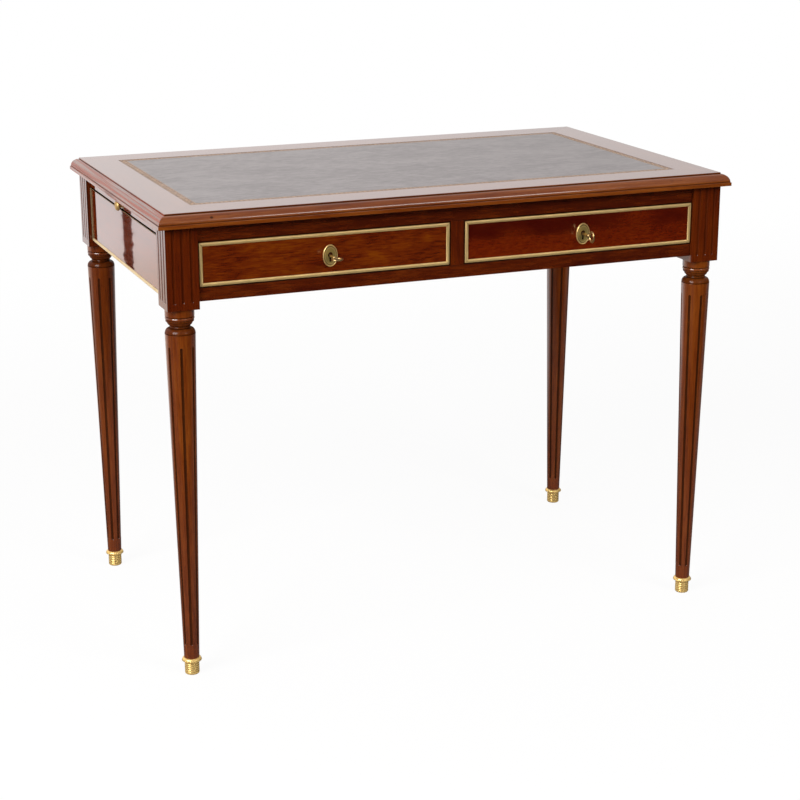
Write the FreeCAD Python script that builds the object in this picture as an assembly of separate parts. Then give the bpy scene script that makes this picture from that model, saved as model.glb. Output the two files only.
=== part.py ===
import FreeCAD, Part
import math
import os

# Writing desk with a leather top, two drawers with locks, a writing slide at each side and turned,
# fluted legs in brass foot cups. Millimetres. +X is the sitter's right, +Y the back, +Z up.
# The origin is on the floor, below the middle of the top.

# Overall sizes
TOP_LENGTH = 1000.0
TOP_DEPTH = 600.0
DESK_HEIGHT = 770.0
TOP_THICKNESS = 22.0
OVERHANG = 13.0

# Moulded edge of the top, from the flat top down to the underside
EDGE_REACH = 14.0
EDGE_STEP = 2.4
EDGE_LEDGE = 1.4
EDGE_QUIRK = 1.2
EDGE_QUIRK_HEIGHT = 0.8
EDGE_FILLET_HEIGHT = 6.0
EDGE_EASE = 0.8
EDGE_SWELL = 2.9

# Leather and the boards round it
BORDER_WIDTH = 57.0
LEATHER_THICKNESS = 1.2
LEATHER_SINK = 0.2

# Square block at the head of each leg, with flutes on its two outer faces
BLOCK_SIDE = 52.0
BLOCK_BELOW_APRON = 11.5
BLOCK_FLUTES = 3
BLOCK_FLUTE_RADIUS = 2.4
BLOCK_FLUTE_DEPTH = 1.6
BLOCK_FLUTE_STOP = 13.0
FLUTE_END = 2.6
FLUTE_TIP_SHARE = 0.4
FLUTE_SIDES = 10

# Turned part of the leg, from the block down to the foot
COLLAR_RADIUS = 23.2
COLLAR_HEIGHT = 12.3
GROOVE_DEPTH = 1.2
GROOVE_HEIGHT = 1.2
BEAD_RADIUS = 22.3
BEAD_HEIGHT = 4.4
BEAD_SWELL = 0.9
BAND_RADIUS = 22.2
BAND_HEIGHT = 3.2
OGEE_RADIUS = 20.4
OGEE_HEIGHT = 7.0
OGEE_SWELL = 1.2
NECK_RADIUS = 15.4
NECK_HEIGHT = 3.2
NECK_SWELL = 0.9
SHOULDER_RADIUS = 23.9
SHOULDER_HEIGHT = 7.8
SHOULDER_SWELL = 2.4
TAPER_TOP_RADIUS = 24.2
TAPER_FOOT_RADIUS = 12.5
LEG_FLUTES = 7
FLATS_PER_FLUTE = 4
LEG_FLUTE_RADIUS = 2.7
LEG_FLUTE_DEPTH = 1.7
LEG_FLUTE_TOP_STOP = 22.0
LEG_FLUTE_FOOT_STOP = 26.0
# Turn of the first flute from the front towards the left, as each leg was glued in
LEG_FLUTE_TURNS = {"front_left": 13.0, "front_right": 1.5, "back_left": 26.0, "back_right": 7.5}

# Brass foot cup
SABOT_HEIGHT = 29.0
SABOT_FOOT_RADIUS = 9.6
SABOT_BASE_RADIUS = 11.7
SABOT_BASE_HEIGHT = 5.2
SABOT_BASE_EASE = 1.6
SABOT_WAIST_RADIUS = 11.2
SABOT_WAIST_HEIGHT = 14.0
SABOT_FLARE_RADIUS = 15.9
SABOT_FLARE_HEIGHT = 5.0
SABOT_FLARE_HOLLOW = 0.9
SABOT_LIP_RADIUS = 12.9
SABOT_LIP_SWELL = 1.0

# Rails, aprons and the brass strips on them
RAIL_THICKNESS = 20.0
FRONT_RECESS = 5.0
SIDE_RECESS = 8.0
UPPER_RAIL_HEIGHT = 25.5
DRAWER_OPENING_HEIGHT = 72.5
LOWER_RAIL_HEIGHT = 21.0
DIVIDER_WIDTH = 24.0
TENON_LENGTH = 20.0
TENON_THICKNESS = 10.0
TENON_SHOULDER = 4.0
STRIP_WIDTH = 5.5
STRIP_EDGE = 0.6
STRIP_SWELL = 1.6
STRIP_TOP_GAP = 0.5

# Writing slides, what they run on and what stops them
SLIDE_GUIDE_WIDTH = 49.5
SLIDE_THICKNESS = 20.0
SLIDE_PLAY = 0.25
SLIDE_SIDE_PLAY = 0.5
SLIDE_STOP_WIDTH = 18.0
SLIDE_STOP_LENGTH = 200.0
SLIDE_STOP_CLEARANCE = 3.3
SLIDE_STOP_TO_KICKER = 65.5
PACKING_THICKNESS = 3.5
PACKING_WIDTH = 40.0
PACKING_INSET = 25.0
KICKER_THICKNESS = 13.0
KICKER_OVER_SIDE = 11.0
CENTRE_KICKER_WIDTH = 80.0
CENTRE_KICKER_GAP = 1.0
BEARER_WIDTH = 40.0
SLIDE_INNER_GAP = 2.0

# Knob of a slide, turned
KNOB_FOOT_RADIUS = 5.0
KNOB_FOOT_HEIGHT = 1.3
KNOB_STEM_RADIUS = 2.9
KNOB_STEM_HEIGHT = 5.6
KNOB_RISE = 1.4
KNOB_RADIUS = 8.0
KNOB_BAND = 2.2
KNOB_CROWN = 2.5
KNOB_CROWN_SWELL = 0.6
KNOB_FACE_RADIUS = 4.4

# Drawers
DRAWER_GAP = 1.0
DRAWER_BACK_SPACE = 44.0
DRAWER_RUN_GAP = 0.3
DRAWER_TOP_GAP = 1.0
DRAWER_SIDE_THICKNESS = 10.0
DRAWER_BACK_THICKNESS = 10.0
DRAWER_BACK_DROP = 4.0
DRAWER_BOTTOM_THICKNESS = 5.0
DRAWER_BOTTOM_RISE = 7.0
DRAWER_GROOVE = 5.0
DOVETAILS = 3
DOVETAIL_LENGTH = 15.0
DOVETAIL_ROOT_SHARE = 0.55
DOVETAIL_SLOPE_SHARE = 0.14
RUNNER_THICKNESS = 14.0
RUNNER_WIDTH = 13.0
CENTRE_RUNNER_WIDTH = 48.0
GUIDE_RISE = 30.0
STOP_BLOCK_WIDTH = 40.0
STOP_BLOCK_HEIGHT = 26.0

# Locks, their bolts, keys and escutcheons
LOCK_SHIFT = 4.5
LOCK_DROP = 2.5
LOCK_WIDTH = 54.0
LOCK_DEPTH = 12.0
LOCK_WALL = 1.5
LOCK_PLAY = 0.3
BOLT_WIDTH = 28.0
BOLT_THICKNESS = 3.4
BOLT_SINK = 0.7
BOLT_THROW = 7.0
BOLT_LUG_WIDTH = 8.0
BOLT_LUG_HEIGHT = 4.0
BOLT_LUG_REACH = 3.4
MORTISE_SPARE = 1.5
KEY_STEM_RADIUS = 2.4
KEY_BIT_REACH = 8.0
KEY_BIT_THICKNESS = 3.0
KEY_BIT_LENGTH = 3.8
KEY_STAND_OUT = 25.0
KEY_BOW_WIDTH = 20.0
KEY_BOW_LENGTH = 18.0
KEY_BOW_WIRE = 3.8
KEY_COLLAR_RADIUS = 3.5
KEY_COLLAR_LENGTH = 2.6
# Turn of each key at rest, from the bit straight down: the left key stands a quarter turn on
KEY_TURNS = {"left": 90.0, "right": 0.0}
KEYHOLE_SLOT_PLAY = 0.3
ESCUTCHEON_WIDTH = 24.6
ESCUTCHEON_HEIGHT = 35.6
ESCUTCHEON_THICKNESS = 1.2
ESCUTCHEON_RIM = 2.6
ESCUTCHEON_RIM_RISE = 1.1
ESCUTCHEON_HOLE_RADIUS = 4.0

# Blocks that hold the top
GLUE_BLOCK = 16.0
GLUE_BLOCK_LENGTH = 50.0
GLUE_BLOCK_SHARES = (-0.75, -0.25, 0.25, 0.75)

# A cutter runs this far past the wood that it leaves
OVERRUN = 5.0
# Narrow flats round a lathe piece, which keep its file small and read as round
LATHE_SIDES = 28
# A step of a turned outline slopes by this height
LATHE_STEP = 0.5
# How tight the ends of an oval are
OVAL_END_SHARE = 0.65

# Heights worked out from the sizes above
UNDERSIDE = DESK_HEIGHT - TOP_THICKNESS
OPENING_TOP = UNDERSIDE - UPPER_RAIL_HEIGHT
OPENING_BOTTOM = OPENING_TOP - DRAWER_OPENING_HEIGHT
APRON_BOTTOM = OPENING_BOTTOM - LOWER_RAIL_HEIGHT
BLOCK_BOTTOM = APRON_BOTTOM - BLOCK_BELOW_APRON
SLIDE_ZONE = SLIDE_THICKNESS + 2 * SLIDE_PLAY + PACKING_THICKNESS
SIDE_APRON_TOP = UNDERSIDE - SLIDE_ZONE
SLIDE_BOTTOM = SIDE_APRON_TOP + SLIDE_PLAY
KICKER_BOTTOM = SIDE_APRON_TOP - KICKER_THICKNESS
SIDE_BOTTOM = OPENING_BOTTOM + DRAWER_RUN_GAP
SIDE_TOP = KICKER_BOTTOM - DRAWER_TOP_GAP
FRONT_BOTTOM = OPENING_BOTTOM + DRAWER_GAP
FRONT_TOP = OPENING_TOP - DRAWER_GAP
KEY_Z = (FRONT_BOTTOM + FRONT_TOP) / 2 - LOCK_DROP

# Places along X and Y, measured from the middle of the desk
BLOCK_OUT_X = TOP_LENGTH / 2 - OVERHANG
BLOCK_OUT_Y = TOP_DEPTH / 2 - OVERHANG
BLOCK_IN_X = BLOCK_OUT_X - BLOCK_SIDE
BLOCK_IN_Y = BLOCK_OUT_Y - BLOCK_SIDE
LEG_X = BLOCK_OUT_X - BLOCK_SIDE / 2
LEG_Y = BLOCK_OUT_Y - BLOCK_SIDE / 2
RAIL_OUT_Y = BLOCK_OUT_Y - FRONT_RECESS
RAIL_IN_Y = RAIL_OUT_Y - RAIL_THICKNESS
SIDE_OUT_X = BLOCK_OUT_X - SIDE_RECESS
SIDE_IN_X = SIDE_OUT_X - RAIL_THICKNESS
DRAWER_NEAR_X = DIVIDER_WIDTH / 2 + DRAWER_GAP
DRAWER_FAR_X = BLOCK_IN_X - DRAWER_GAP
DRAWER_BACK_Y = RAIL_IN_Y - DRAWER_BACK_SPACE
LOCK_X = {
    "left": -(DRAWER_NEAR_X + DRAWER_FAR_X) / 2 + LOCK_SHIFT,
    "right": (DRAWER_NEAR_X + DRAWER_FAR_X) / 2 + LOCK_SHIFT,
}
SLIDE_WIDTH = 2 * (BLOCK_IN_Y - SLIDE_GUIDE_WIDTH - SLIDE_SIDE_PLAY)
SLIDE_STOP_X = CENTRE_KICKER_WIDTH / 2 + SLIDE_STOP_TO_KICKER
LOCK_BACK_Y = -RAIL_IN_Y
LOCK_FRONT_Y = LOCK_BACK_Y - LOCK_DEPTH
LEATHER_X = TOP_LENGTH / 2 - EDGE_REACH - BORDER_WIDTH
LEATHER_Y = TOP_DEPTH / 2 - EDGE_REACH - BORDER_WIDTH
CORE_TOP = DESK_HEIGHT - LEATHER_SINK - LEATHER_THICKNESS

X_AXIS = FreeCAD.Vector(1, 0, 0)
Y_AXIS = FreeCAD.Vector(0, 1, 0)
Z_AXIS = FreeCAD.Vector(0, 0, 1)
CENTRE = FreeCAD.Vector(0, 0, 0)
SIGNS = {"left": -1, "right": 1, "front": -1, "back": 1}
QUARTER_TURN = 90
PARTS = {}


# Common tools

def box(x0, x1, y0, y1, z0, z1):
    """A block between two corners, given in either order along each axis."""
    low = FreeCAD.Vector(min(x0, x1), min(y0, y1), min(z0, z1))
    return Part.makeBox(abs(x1 - x0), abs(y1 - y0), abs(z1 - z0), low)


def rod(radius, length, start, direction):
    return Part.makeCylinder(radius, length, start, direction)


def group(shapes):
    return Part.makeCompound(shapes)


def joined(shapes):
    whole = shapes[0]
    for other in shapes[1:]:
        whole = whole.fuse(other)
    return whole.removeSplitter()


def cut_away(shape, cutters):
    for cutter in cutters:
        shape = shape.cut(cutter)
    return shape


def curve(start, end, swell, parts=3):
    """Points from start to end on a curve that swells outwards on the way down a turned outline."""
    run = (end[0] - start[0], end[1] - start[1])
    length = math.hypot(run[0], run[1])
    points = []
    for number in range(1, parts + 1):
        t = number / parts
        bow = 4 * swell * t * (1 - t) / length
        points.append((start[0] + run[0] * t - run[1] * bow, start[1] + run[1] * t + run[0] * bow))
    return points


def flat_face(corners):
    return Part.Face(Part.makePolygon(corners + corners[:1]))


def outline_face(points):
    """A flat face in the XZ plane."""
    return flat_face([FreeCAD.Vector(x, 0, z) for x, z in points])


def ring_of_corners(sides, radius, z):
    """Corners of a many-sided outline, the first of them on +X."""
    angles = [2 * math.pi * number / sides for number in range(sides)]
    return [FreeCAD.Vector(radius * math.cos(angle), radius * math.sin(angle), z) for angle in angles]


def turned(outline, sides=LATHE_SIDES):
    """A lathe piece about the Z axis, from its outline of radius and height, in narrow flats."""
    rings = [ring_of_corners(sides, radius, z) for radius, z in outline]
    faces = [flat_face(rings[0]), flat_face(rings[-1])]
    for one, other in zip(rings, rings[1:]):
        for number in range(sides):
            faces.append(flat_face([one[number - 1], one[number], other[number], other[number - 1]]))
    solid = Part.Solid(Part.Shell(faces))
    if solid.Volume < 0:
        solid.reverse()
    return solid


def prism_xy(points, z0, z1):
    """An upright block with the given outline seen from above."""
    return flat_face([FreeCAD.Vector(x, y, z0) for x, y in points]).extrude(Z_AXIS * (z1 - z0))


def prism_yz(points, x0, x1):
    """A block along X with the given outline of depth and height."""
    return flat_face([FreeCAD.Vector(x0, y, z) for y, z in points]).extrude(X_AXIS * (x1 - x0))


def oval_block(width, height, z0, z1):
    """An upright block whose oval outline is four arcs, tight at the ends of its long way."""
    a = max(width, height) / 2
    b = min(width, height) / 2
    tight = b * OVAL_END_SHARE
    wide = ((a - tight) ** 2 + b ** 2 - tight ** 2) / (2 * (b - tight))
    x = a - tight + tight * (a - tight) / (wide - tight)
    y = tight * (wide - b) / (wide - tight)
    stops = [(x, y), (0, b), (-x, y), (-a, 0), (-x, -y), (0, -b), (x, -y), (a, 0), (x, y)]
    ring = [FreeCAD.Vector(p[0], p[1], z0) for p in stops]
    arcs = [Part.Arc(ring[n], ring[n + 1], ring[n + 2]).toShape() for n in range(0, len(ring) - 1, 2)]
    block = Part.Face(Part.Wire(arcs)).extrude(Z_AXIS * (z1 - z0))
    if height > width:
        block.rotate(CENTRE, Z_AXIS, QUARTER_TURN)
    return block


def moulded_bar(section, length, width, start_mitre, end_mitre):
    """A bar along X whose outer edge lies on Y = 0, with a 45 degree mitre at the ends that ask for one."""
    bar = section.copy()
    bar.rotate(CENTRE, Z_AXIS, QUARTER_TURN)
    bar = bar.extrude(X_AXIS * length)
    start = width if start_mitre else 0
    end = width if end_mitre else 0
    outline = [(0, 0), (length, 0), (length - end, width), (start, width)]
    return bar.common(prism_xy(outline, bar.BoundBox.ZMin, bar.BoundBox.ZMax))


def mitred_frame(section, length, height, width, open_top=False):
    """Four bars round a rectangle in the XY plane, or three where the top stays open."""
    corners = {"bottom": (0, 0), "right": (length, 0), "top": (length, height), "left": (0, height)}
    turn = 0
    bars = []
    for side, (x, y) in corners.items():
        run = height if side in ("right", "left") else length
        starts_free = open_top and side == "left"
        ends_free = open_top and side == "right"
        bar = moulded_bar(section, run, width, not starts_free, not ends_free)
        bar.rotate(CENTRE, Z_AXIS, turn)
        bar.translate(FreeCAD.Vector(x, y, 0))
        turn += QUARTER_TURN
        if not (open_top and side == "top"):
            bars.append(bar)
    return bars


def stood_up(shape, turn, x, y, z):
    """Stands a piece that lies on its back upright, facing the front, and turns it about the upright axis."""
    shape.rotate(CENTRE, X_AXIS, QUARTER_TURN)
    shape.rotate(CENTRE, Z_AXIS, turn)
    shape.translate(FreeCAD.Vector(x, y, z))
    return shape


# Top

def edge_section():
    """Section of a border board: the moulded edge at X = 0, the flat board behind it."""
    shelf = EDGE_REACH - EDGE_LEDGE
    under = EDGE_FILLET_HEIGHT + EDGE_QUIRK_HEIGHT
    width = EDGE_REACH + BORDER_WIDTH
    step = TOP_THICKNESS - EDGE_STEP
    ovolo = curve((EDGE_QUIRK, under), (shelf, step), EDGE_SWELL)
    return outline_face([
        (EDGE_EASE, 0),
        (0, EDGE_EASE),
        (0, EDGE_FILLET_HEIGHT),
        (EDGE_QUIRK, EDGE_FILLET_HEIGHT),
        (EDGE_QUIRK, under),
    ] + ovolo + [
        (EDGE_REACH, step),
        (EDGE_REACH, TOP_THICKNESS),
        (width, TOP_THICKNESS),
        (width, 0),
    ])


def make_top():
    width = EDGE_REACH + BORDER_WIDTH
    boards = mitred_frame(edge_section(), TOP_LENGTH, TOP_DEPTH, width)
    for name, board in zip(("front", "right", "back", "left"), boards):
        board.translate(FreeCAD.Vector(-TOP_LENGTH / 2, -TOP_DEPTH / 2, UNDERSIDE))
        PARTS["top_" + name + "_border"] = board
    PARTS["top_core_panel"] = box(-LEATHER_X, LEATHER_X, -LEATHER_Y, LEATHER_Y, UNDERSIDE, CORE_TOP)
    PARTS["writing_leather"] = box(-LEATHER_X, LEATHER_X, -LEATHER_Y, LEATHER_Y, CORE_TOP,
                                   CORE_TOP + LEATHER_THICKNESS)


def make_top_fixings():
    blocks = []
    for sign in (-1, 1):
        for share in GLUE_BLOCK_SHARES:
            middle = share * BLOCK_IN_X
            blocks.append(box(middle - GLUE_BLOCK_LENGTH / 2, middle + GLUE_BLOCK_LENGTH / 2,
                              sign * RAIL_IN_Y, sign * (RAIL_IN_Y - GLUE_BLOCK),
                              UNDERSIDE - GLUE_BLOCK, UNDERSIDE))
    PARTS["top_glue_blocks"] = group(blocks)


# Legs

def leg_taper_top():
    """Height at which the plain taper of a leg begins."""
    return (BLOCK_BOTTOM - COLLAR_HEIGHT - GROOVE_HEIGHT - BEAD_HEIGHT - BAND_HEIGHT - OGEE_HEIGHT
            - NECK_HEIGHT - SHOULDER_HEIGHT - GROOVE_HEIGHT)


def turned_leg():
    """Collar, groove, bead, band, ogee, neck ring, shoulder, groove and taper, on the Z axis."""
    collar_end = BLOCK_BOTTOM - COLLAR_HEIGHT
    bead_start = collar_end - GROOVE_HEIGHT
    bead_end = bead_start - BEAD_HEIGHT
    band_end = bead_end - BAND_HEIGHT
    neck_start = band_end - OGEE_HEIGHT
    neck_end = neck_start - NECK_HEIGHT
    shoulder_end = neck_end - SHOULDER_HEIGHT
    taper_top = leg_taper_top()
    outline = [(COLLAR_RADIUS, BLOCK_BOTTOM), (COLLAR_RADIUS, collar_end)]
    outline.append((COLLAR_RADIUS - GROOVE_DEPTH, collar_end - GROOVE_HEIGHT / 2))
    outline.append((BEAD_RADIUS, bead_start))
    outline += curve((BEAD_RADIUS, bead_start), (BEAD_RADIUS, bead_end), BEAD_SWELL)
    outline += [(BAND_RADIUS, bead_end - LATHE_STEP), (BAND_RADIUS, band_end)]
    ogee_start = (OGEE_RADIUS, band_end - LATHE_STEP)
    outline.append(ogee_start)
    outline += curve(ogee_start, (NECK_RADIUS, neck_start), OGEE_SWELL)
    outline += curve((NECK_RADIUS, neck_start), (NECK_RADIUS, neck_end), NECK_SWELL)
    outline += curve((NECK_RADIUS, neck_end), (SHOULDER_RADIUS, shoulder_end), SHOULDER_SWELL)
    outline.append((SHOULDER_RADIUS - GROOVE_DEPTH, (shoulder_end + taper_top) / 2))
    outline += [(TAPER_TOP_RADIUS, taper_top), (TAPER_FOOT_RADIUS, SABOT_HEIGHT)]
    return turned(outline, LEG_FLUTES * FLATS_PER_FLUTE)


def flute(radius, depth, foot, head):
    """A cutter on the +X side of the Z axis, from foot to head, each the leg's radius and height there."""
    run = math.hypot(head[0] - foot[0], head[1] - foot[1])
    tip = radius * FLUTE_TIP_SHARE
    cutter = turned([(tip, -FLUTE_END), (radius, 0), (radius, run), (tip, run + FLUTE_END)], FLUTE_SIDES)
    cutter.rotate(CENTRE, Y_AXIS, math.degrees(math.atan2(head[0] - foot[0], head[1] - foot[1])))
    cutter.translate(FreeCAD.Vector(foot[0] + radius - depth, 0, foot[1]))
    return cutter


def fluted_leg():
    """The round part of a leg with its flutes, the first of them on +X."""
    leg = turned_leg()
    top = leg_taper_top()
    slope = (TAPER_TOP_RADIUS - TAPER_FOOT_RADIUS) / (top - SABOT_HEIGHT)
    foot = (TAPER_FOOT_RADIUS + slope * LEG_FLUTE_FOOT_STOP, SABOT_HEIGHT + LEG_FLUTE_FOOT_STOP)
    head = (TAPER_TOP_RADIUS - slope * LEG_FLUTE_TOP_STOP, top - LEG_FLUTE_TOP_STOP)
    cutter = flute(LEG_FLUTE_RADIUS, LEG_FLUTE_DEPTH, foot, head)
    for number in range(LEG_FLUTES):
        leg = leg.cut(cutter)
        cutter.rotate(CENTRE, Z_AXIS, 360 / LEG_FLUTES)
    return leg


def fluted_block(sign_x, sign_y):
    """The square head of a leg, with flutes on its two outer faces that run out under the top."""
    half = BLOCK_SIDE / 2
    block = box(-half, half, -half, half, BLOCK_BOTTOM, UNDERSIDE)
    for turn in (QUARTER_TURN - QUARTER_TURN * sign_x, QUARTER_TURN * sign_y):
        for number in range(1, BLOCK_FLUTES + 1):
            across = (number / (BLOCK_FLUTES + 1) - 1 / 2) * BLOCK_SIDE
            cutter = flute(BLOCK_FLUTE_RADIUS, BLOCK_FLUTE_DEPTH, (half, BLOCK_BOTTOM + BLOCK_FLUTE_STOP),
                           (half, UNDERSIDE + OVERRUN))
            cutter.translate(Y_AXIS * across)
            cutter.rotate(CENTRE, Z_AXIS, turn)
            block = block.cut(cutter)
    return block


def sabot():
    """Brass foot cup with a rolled base, a plain waist and a flared collar under the leg's end."""
    base_top = SABOT_BASE_HEIGHT
    waist_top = base_top + SABOT_WAIST_HEIGHT
    flare = (SABOT_FLARE_RADIUS, waist_top + SABOT_FLARE_HEIGHT)
    lip = (SABOT_LIP_RADIUS, SABOT_HEIGHT)
    return turned(
        [lip] + curve(lip, flare, SABOT_LIP_SWELL, 2)
        + curve(flare, (SABOT_WAIST_RADIUS, waist_top), -SABOT_FLARE_HOLLOW, 2)
        + [(SABOT_WAIST_RADIUS, base_top + LATHE_STEP), (SABOT_BASE_RADIUS, base_top),
           (SABOT_BASE_RADIUS, SABOT_BASE_EASE), (SABOT_FOOT_RADIUS, 0)])


def make_legs(tenons):
    column = fluted_leg()
    for front_back in ("front", "back"):
        for side in ("left", "right"):
            name = front_back + "_" + side
            sign_x = SIGNS[side]
            sign_y = SIGNS[front_back]
            leg = column.copy()
            leg.rotate(CENTRE, Z_AXIS, -QUARTER_TURN - LEG_FLUTE_TURNS[name])
            leg = leg.fuse(fluted_block(sign_x, sign_y))
            place = FreeCAD.Vector(sign_x * LEG_X, sign_y * LEG_Y, 0)
            leg.translate(place)
            PARTS[name + "_leg"] = cut_away(leg, tenons)
            cup = sabot()
            cup.translate(place)
            PARTS[name + "_sabot"] = cup


# Rails and aprons

def rail_tenons(y_sign, z0, z1):
    """The two tenons of a rail along X."""
    middle = y_sign * (RAIL_IN_Y + RAIL_OUT_Y) / 2
    half = TENON_THICKNESS / 2
    return [box(sign * BLOCK_IN_X, sign * (BLOCK_IN_X + TENON_LENGTH), middle - half, middle + half,
                z0 + TENON_SHOULDER, z1 - TENON_SHOULDER) for sign in (-1, 1)]


def rail_along_x(y_sign, z0, z1):
    tenons = rail_tenons(y_sign, z0, z1)
    body = box(-BLOCK_IN_X, BLOCK_IN_X, y_sign * RAIL_IN_Y, y_sign * RAIL_OUT_Y, z0, z1)
    return joined([body] + tenons), tenons


def apron_along_y(x_sign):
    middle = x_sign * (SIDE_IN_X + SIDE_OUT_X) / 2
    half = TENON_THICKNESS / 2
    tenons = [box(middle - half, middle + half, sign * BLOCK_IN_Y, sign * (BLOCK_IN_Y + TENON_LENGTH),
                  APRON_BOTTOM + TENON_SHOULDER, SIDE_APRON_TOP - TENON_SHOULDER) for sign in (-1, 1)]
    body = box(x_sign * SIDE_IN_X, x_sign * SIDE_OUT_X, -BLOCK_IN_Y, BLOCK_IN_Y,
               APRON_BOTTOM, SIDE_APRON_TOP)
    return joined([body] + tenons), tenons


def bolt_mortise(side):
    """The hole in the upper rail that a raised lock bolt enters."""
    x = LOCK_X[side]
    half = BOLT_WIDTH / 2 + LOCK_PLAY
    y0, y1 = bolt_depths()
    top = FRONT_TOP - BOLT_SINK + BOLT_THROW + MORTISE_SPARE
    return box(x - half, x + half, y0 - LOCK_PLAY, y1 + LOCK_PLAY, OPENING_TOP - OVERRUN, top)


def make_carcase():
    """Rails, divider and aprons. Gives the tenons, for the mortises of the legs."""
    upper, upper_tenons = rail_along_x(-1, OPENING_TOP, UNDERSIDE)
    lower, lower_tenons = rail_along_x(-1, APRON_BOTTOM, OPENING_BOTTOM)
    back, back_tenons = rail_along_x(1, APRON_BOTTOM, UNDERSIDE)
    tenons = upper_tenons + lower_tenons + back_tenons
    PARTS["front_upper_rail"] = cut_away(upper, [bolt_mortise("left"), bolt_mortise("right")])
    PARTS["front_lower_rail"] = lower
    PARTS["back_apron"] = back
    PARTS["drawer_divider"] = box(-DIVIDER_WIDTH / 2, DIVIDER_WIDTH / 2, -RAIL_OUT_Y, -RAIL_IN_Y,
                                  OPENING_BOTTOM, OPENING_TOP)
    for side in ("left", "right"):
        apron, side_tenons = apron_along_y(SIGNS[side])
        PARTS[side + "_side_apron"] = apron
        tenons += side_tenons
    return tenons


def strip_section():
    """Section of the brass strip: flat back, low round face."""
    start = (STRIP_WIDTH, STRIP_EDGE)
    end = (0, STRIP_EDGE)
    return outline_face([end, (0, 0), (STRIP_WIDTH, 0), start] + curve(start, end, -STRIP_SWELL)[:-1])


def brass_frame(length, height, open_top=False):
    return group(mitred_frame(strip_section(), length, height, STRIP_WIDTH, open_top))


def make_apron_brass():
    height = SIDE_APRON_TOP - STRIP_TOP_GAP - APRON_BOTTOM
    length = 2 * BLOCK_IN_Y
    PARTS["left_side_brass_frame"] = stood_up(
        brass_frame(length, height, True), -QUARTER_TURN, -SIDE_OUT_X, BLOCK_IN_Y, APRON_BOTTOM)
    PARTS["right_side_brass_frame"] = stood_up(
        brass_frame(length, height, True), QUARTER_TURN, SIDE_OUT_X, -BLOCK_IN_Y, APRON_BOTTOM)
    length = DRAWER_FAR_X - DRAWER_NEAR_X
    height = FRONT_TOP - FRONT_BOTTOM
    PARTS["back_brass_frames"] = group([
        stood_up(brass_frame(length, height), 2 * QUARTER_TURN, start, RAIL_OUT_Y, FRONT_BOTTOM)
        for start in (-DRAWER_NEAR_X, DRAWER_FAR_X)])


# What the drawers and slides run on

def make_runners():
    bottom = OPENING_BOTTOM - RUNNER_THICKNESS
    half = CENTRE_RUNNER_WIDTH / 2
    PARTS["centre_drawer_runner"] = box(-half, half, -RAIL_IN_Y, RAIL_IN_Y, bottom, OPENING_BOTTOM)
    half = DIVIDER_WIDTH / 2
    PARTS["centre_drawer_guide"] = box(-half, half, -RAIL_IN_Y, RAIL_IN_Y, OPENING_BOTTOM,
                                       OPENING_BOTTOM + GUIDE_RISE)
    runners = []
    guides = []
    kickers = []
    for sign in (-1, 1):
        runners.append(box(sign * (BLOCK_IN_X - RUNNER_WIDTH), sign * BLOCK_IN_X,
                           -RAIL_IN_Y, RAIL_IN_Y, bottom, OPENING_BOTTOM))
        guides.append(box(sign * BLOCK_IN_X, sign * SIDE_IN_X, -BLOCK_IN_Y, BLOCK_IN_Y,
                          bottom, OPENING_BOTTOM + GUIDE_RISE))
        kickers.append(box(sign * (BLOCK_IN_X - KICKER_OVER_SIDE), sign * SIDE_IN_X,
                           -BLOCK_IN_Y, BLOCK_IN_Y, KICKER_BOTTOM, SIDE_APRON_TOP))
    PARTS["side_drawer_runners"] = group(runners)
    PARTS["side_drawer_guides"] = group(guides)
    PARTS["side_kickers"] = group(kickers)
    half = CENTRE_KICKER_WIDTH / 2
    PARTS["centre_kicker"] = box(-half, half, CENTRE_KICKER_GAP - RAIL_IN_Y, RAIL_IN_Y,
                                 KICKER_BOTTOM, SIDE_APRON_TOP)
    half = BEARER_WIDTH / 2
    PARTS["centre_bearer"] = box(-half, half, -RAIL_IN_Y, RAIL_IN_Y, SIDE_APRON_TOP, UNDERSIDE)


def make_drawer_stops():
    middle = (DRAWER_NEAR_X + DRAWER_FAR_X) / 2
    bottom = SIDE_BOTTOM + DRAWER_BOTTOM_RISE
    PARTS["drawer_stops"] = group([
        box(sign * middle - STOP_BLOCK_WIDTH / 2, sign * middle + STOP_BLOCK_WIDTH / 2,
            DRAWER_BACK_Y + DRAWER_RUN_GAP, RAIL_IN_Y, bottom, bottom + STOP_BLOCK_HEIGHT)
        for sign in (-1, 1)])


def make_slide_guides():
    inner = SLIDE_WIDTH / 2 + SLIDE_SIDE_PLAY
    packing = []
    for side in ("left", "right"):
        sign = SIGNS[side]
        PARTS[side + "_slide_guides"] = group([
            box(sign * SIDE_OUT_X, sign * BEARER_WIDTH / 2, y_sign * inner, y_sign * BLOCK_IN_Y,
                SIDE_APRON_TOP, UNDERSIDE) for y_sign in (-1, 1)])
        for y_sign in (-1, 1):
            outer = SLIDE_WIDTH / 2 - PACKING_INSET
            packing.append(box(sign * SIDE_IN_X, sign * BEARER_WIDTH / 2, y_sign * outer,
                               y_sign * (outer - PACKING_WIDTH), UNDERSIDE - PACKING_THICKNESS, UNDERSIDE))
    PARTS["slide_packing_strips"] = group(packing)


# Writing slides

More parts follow.
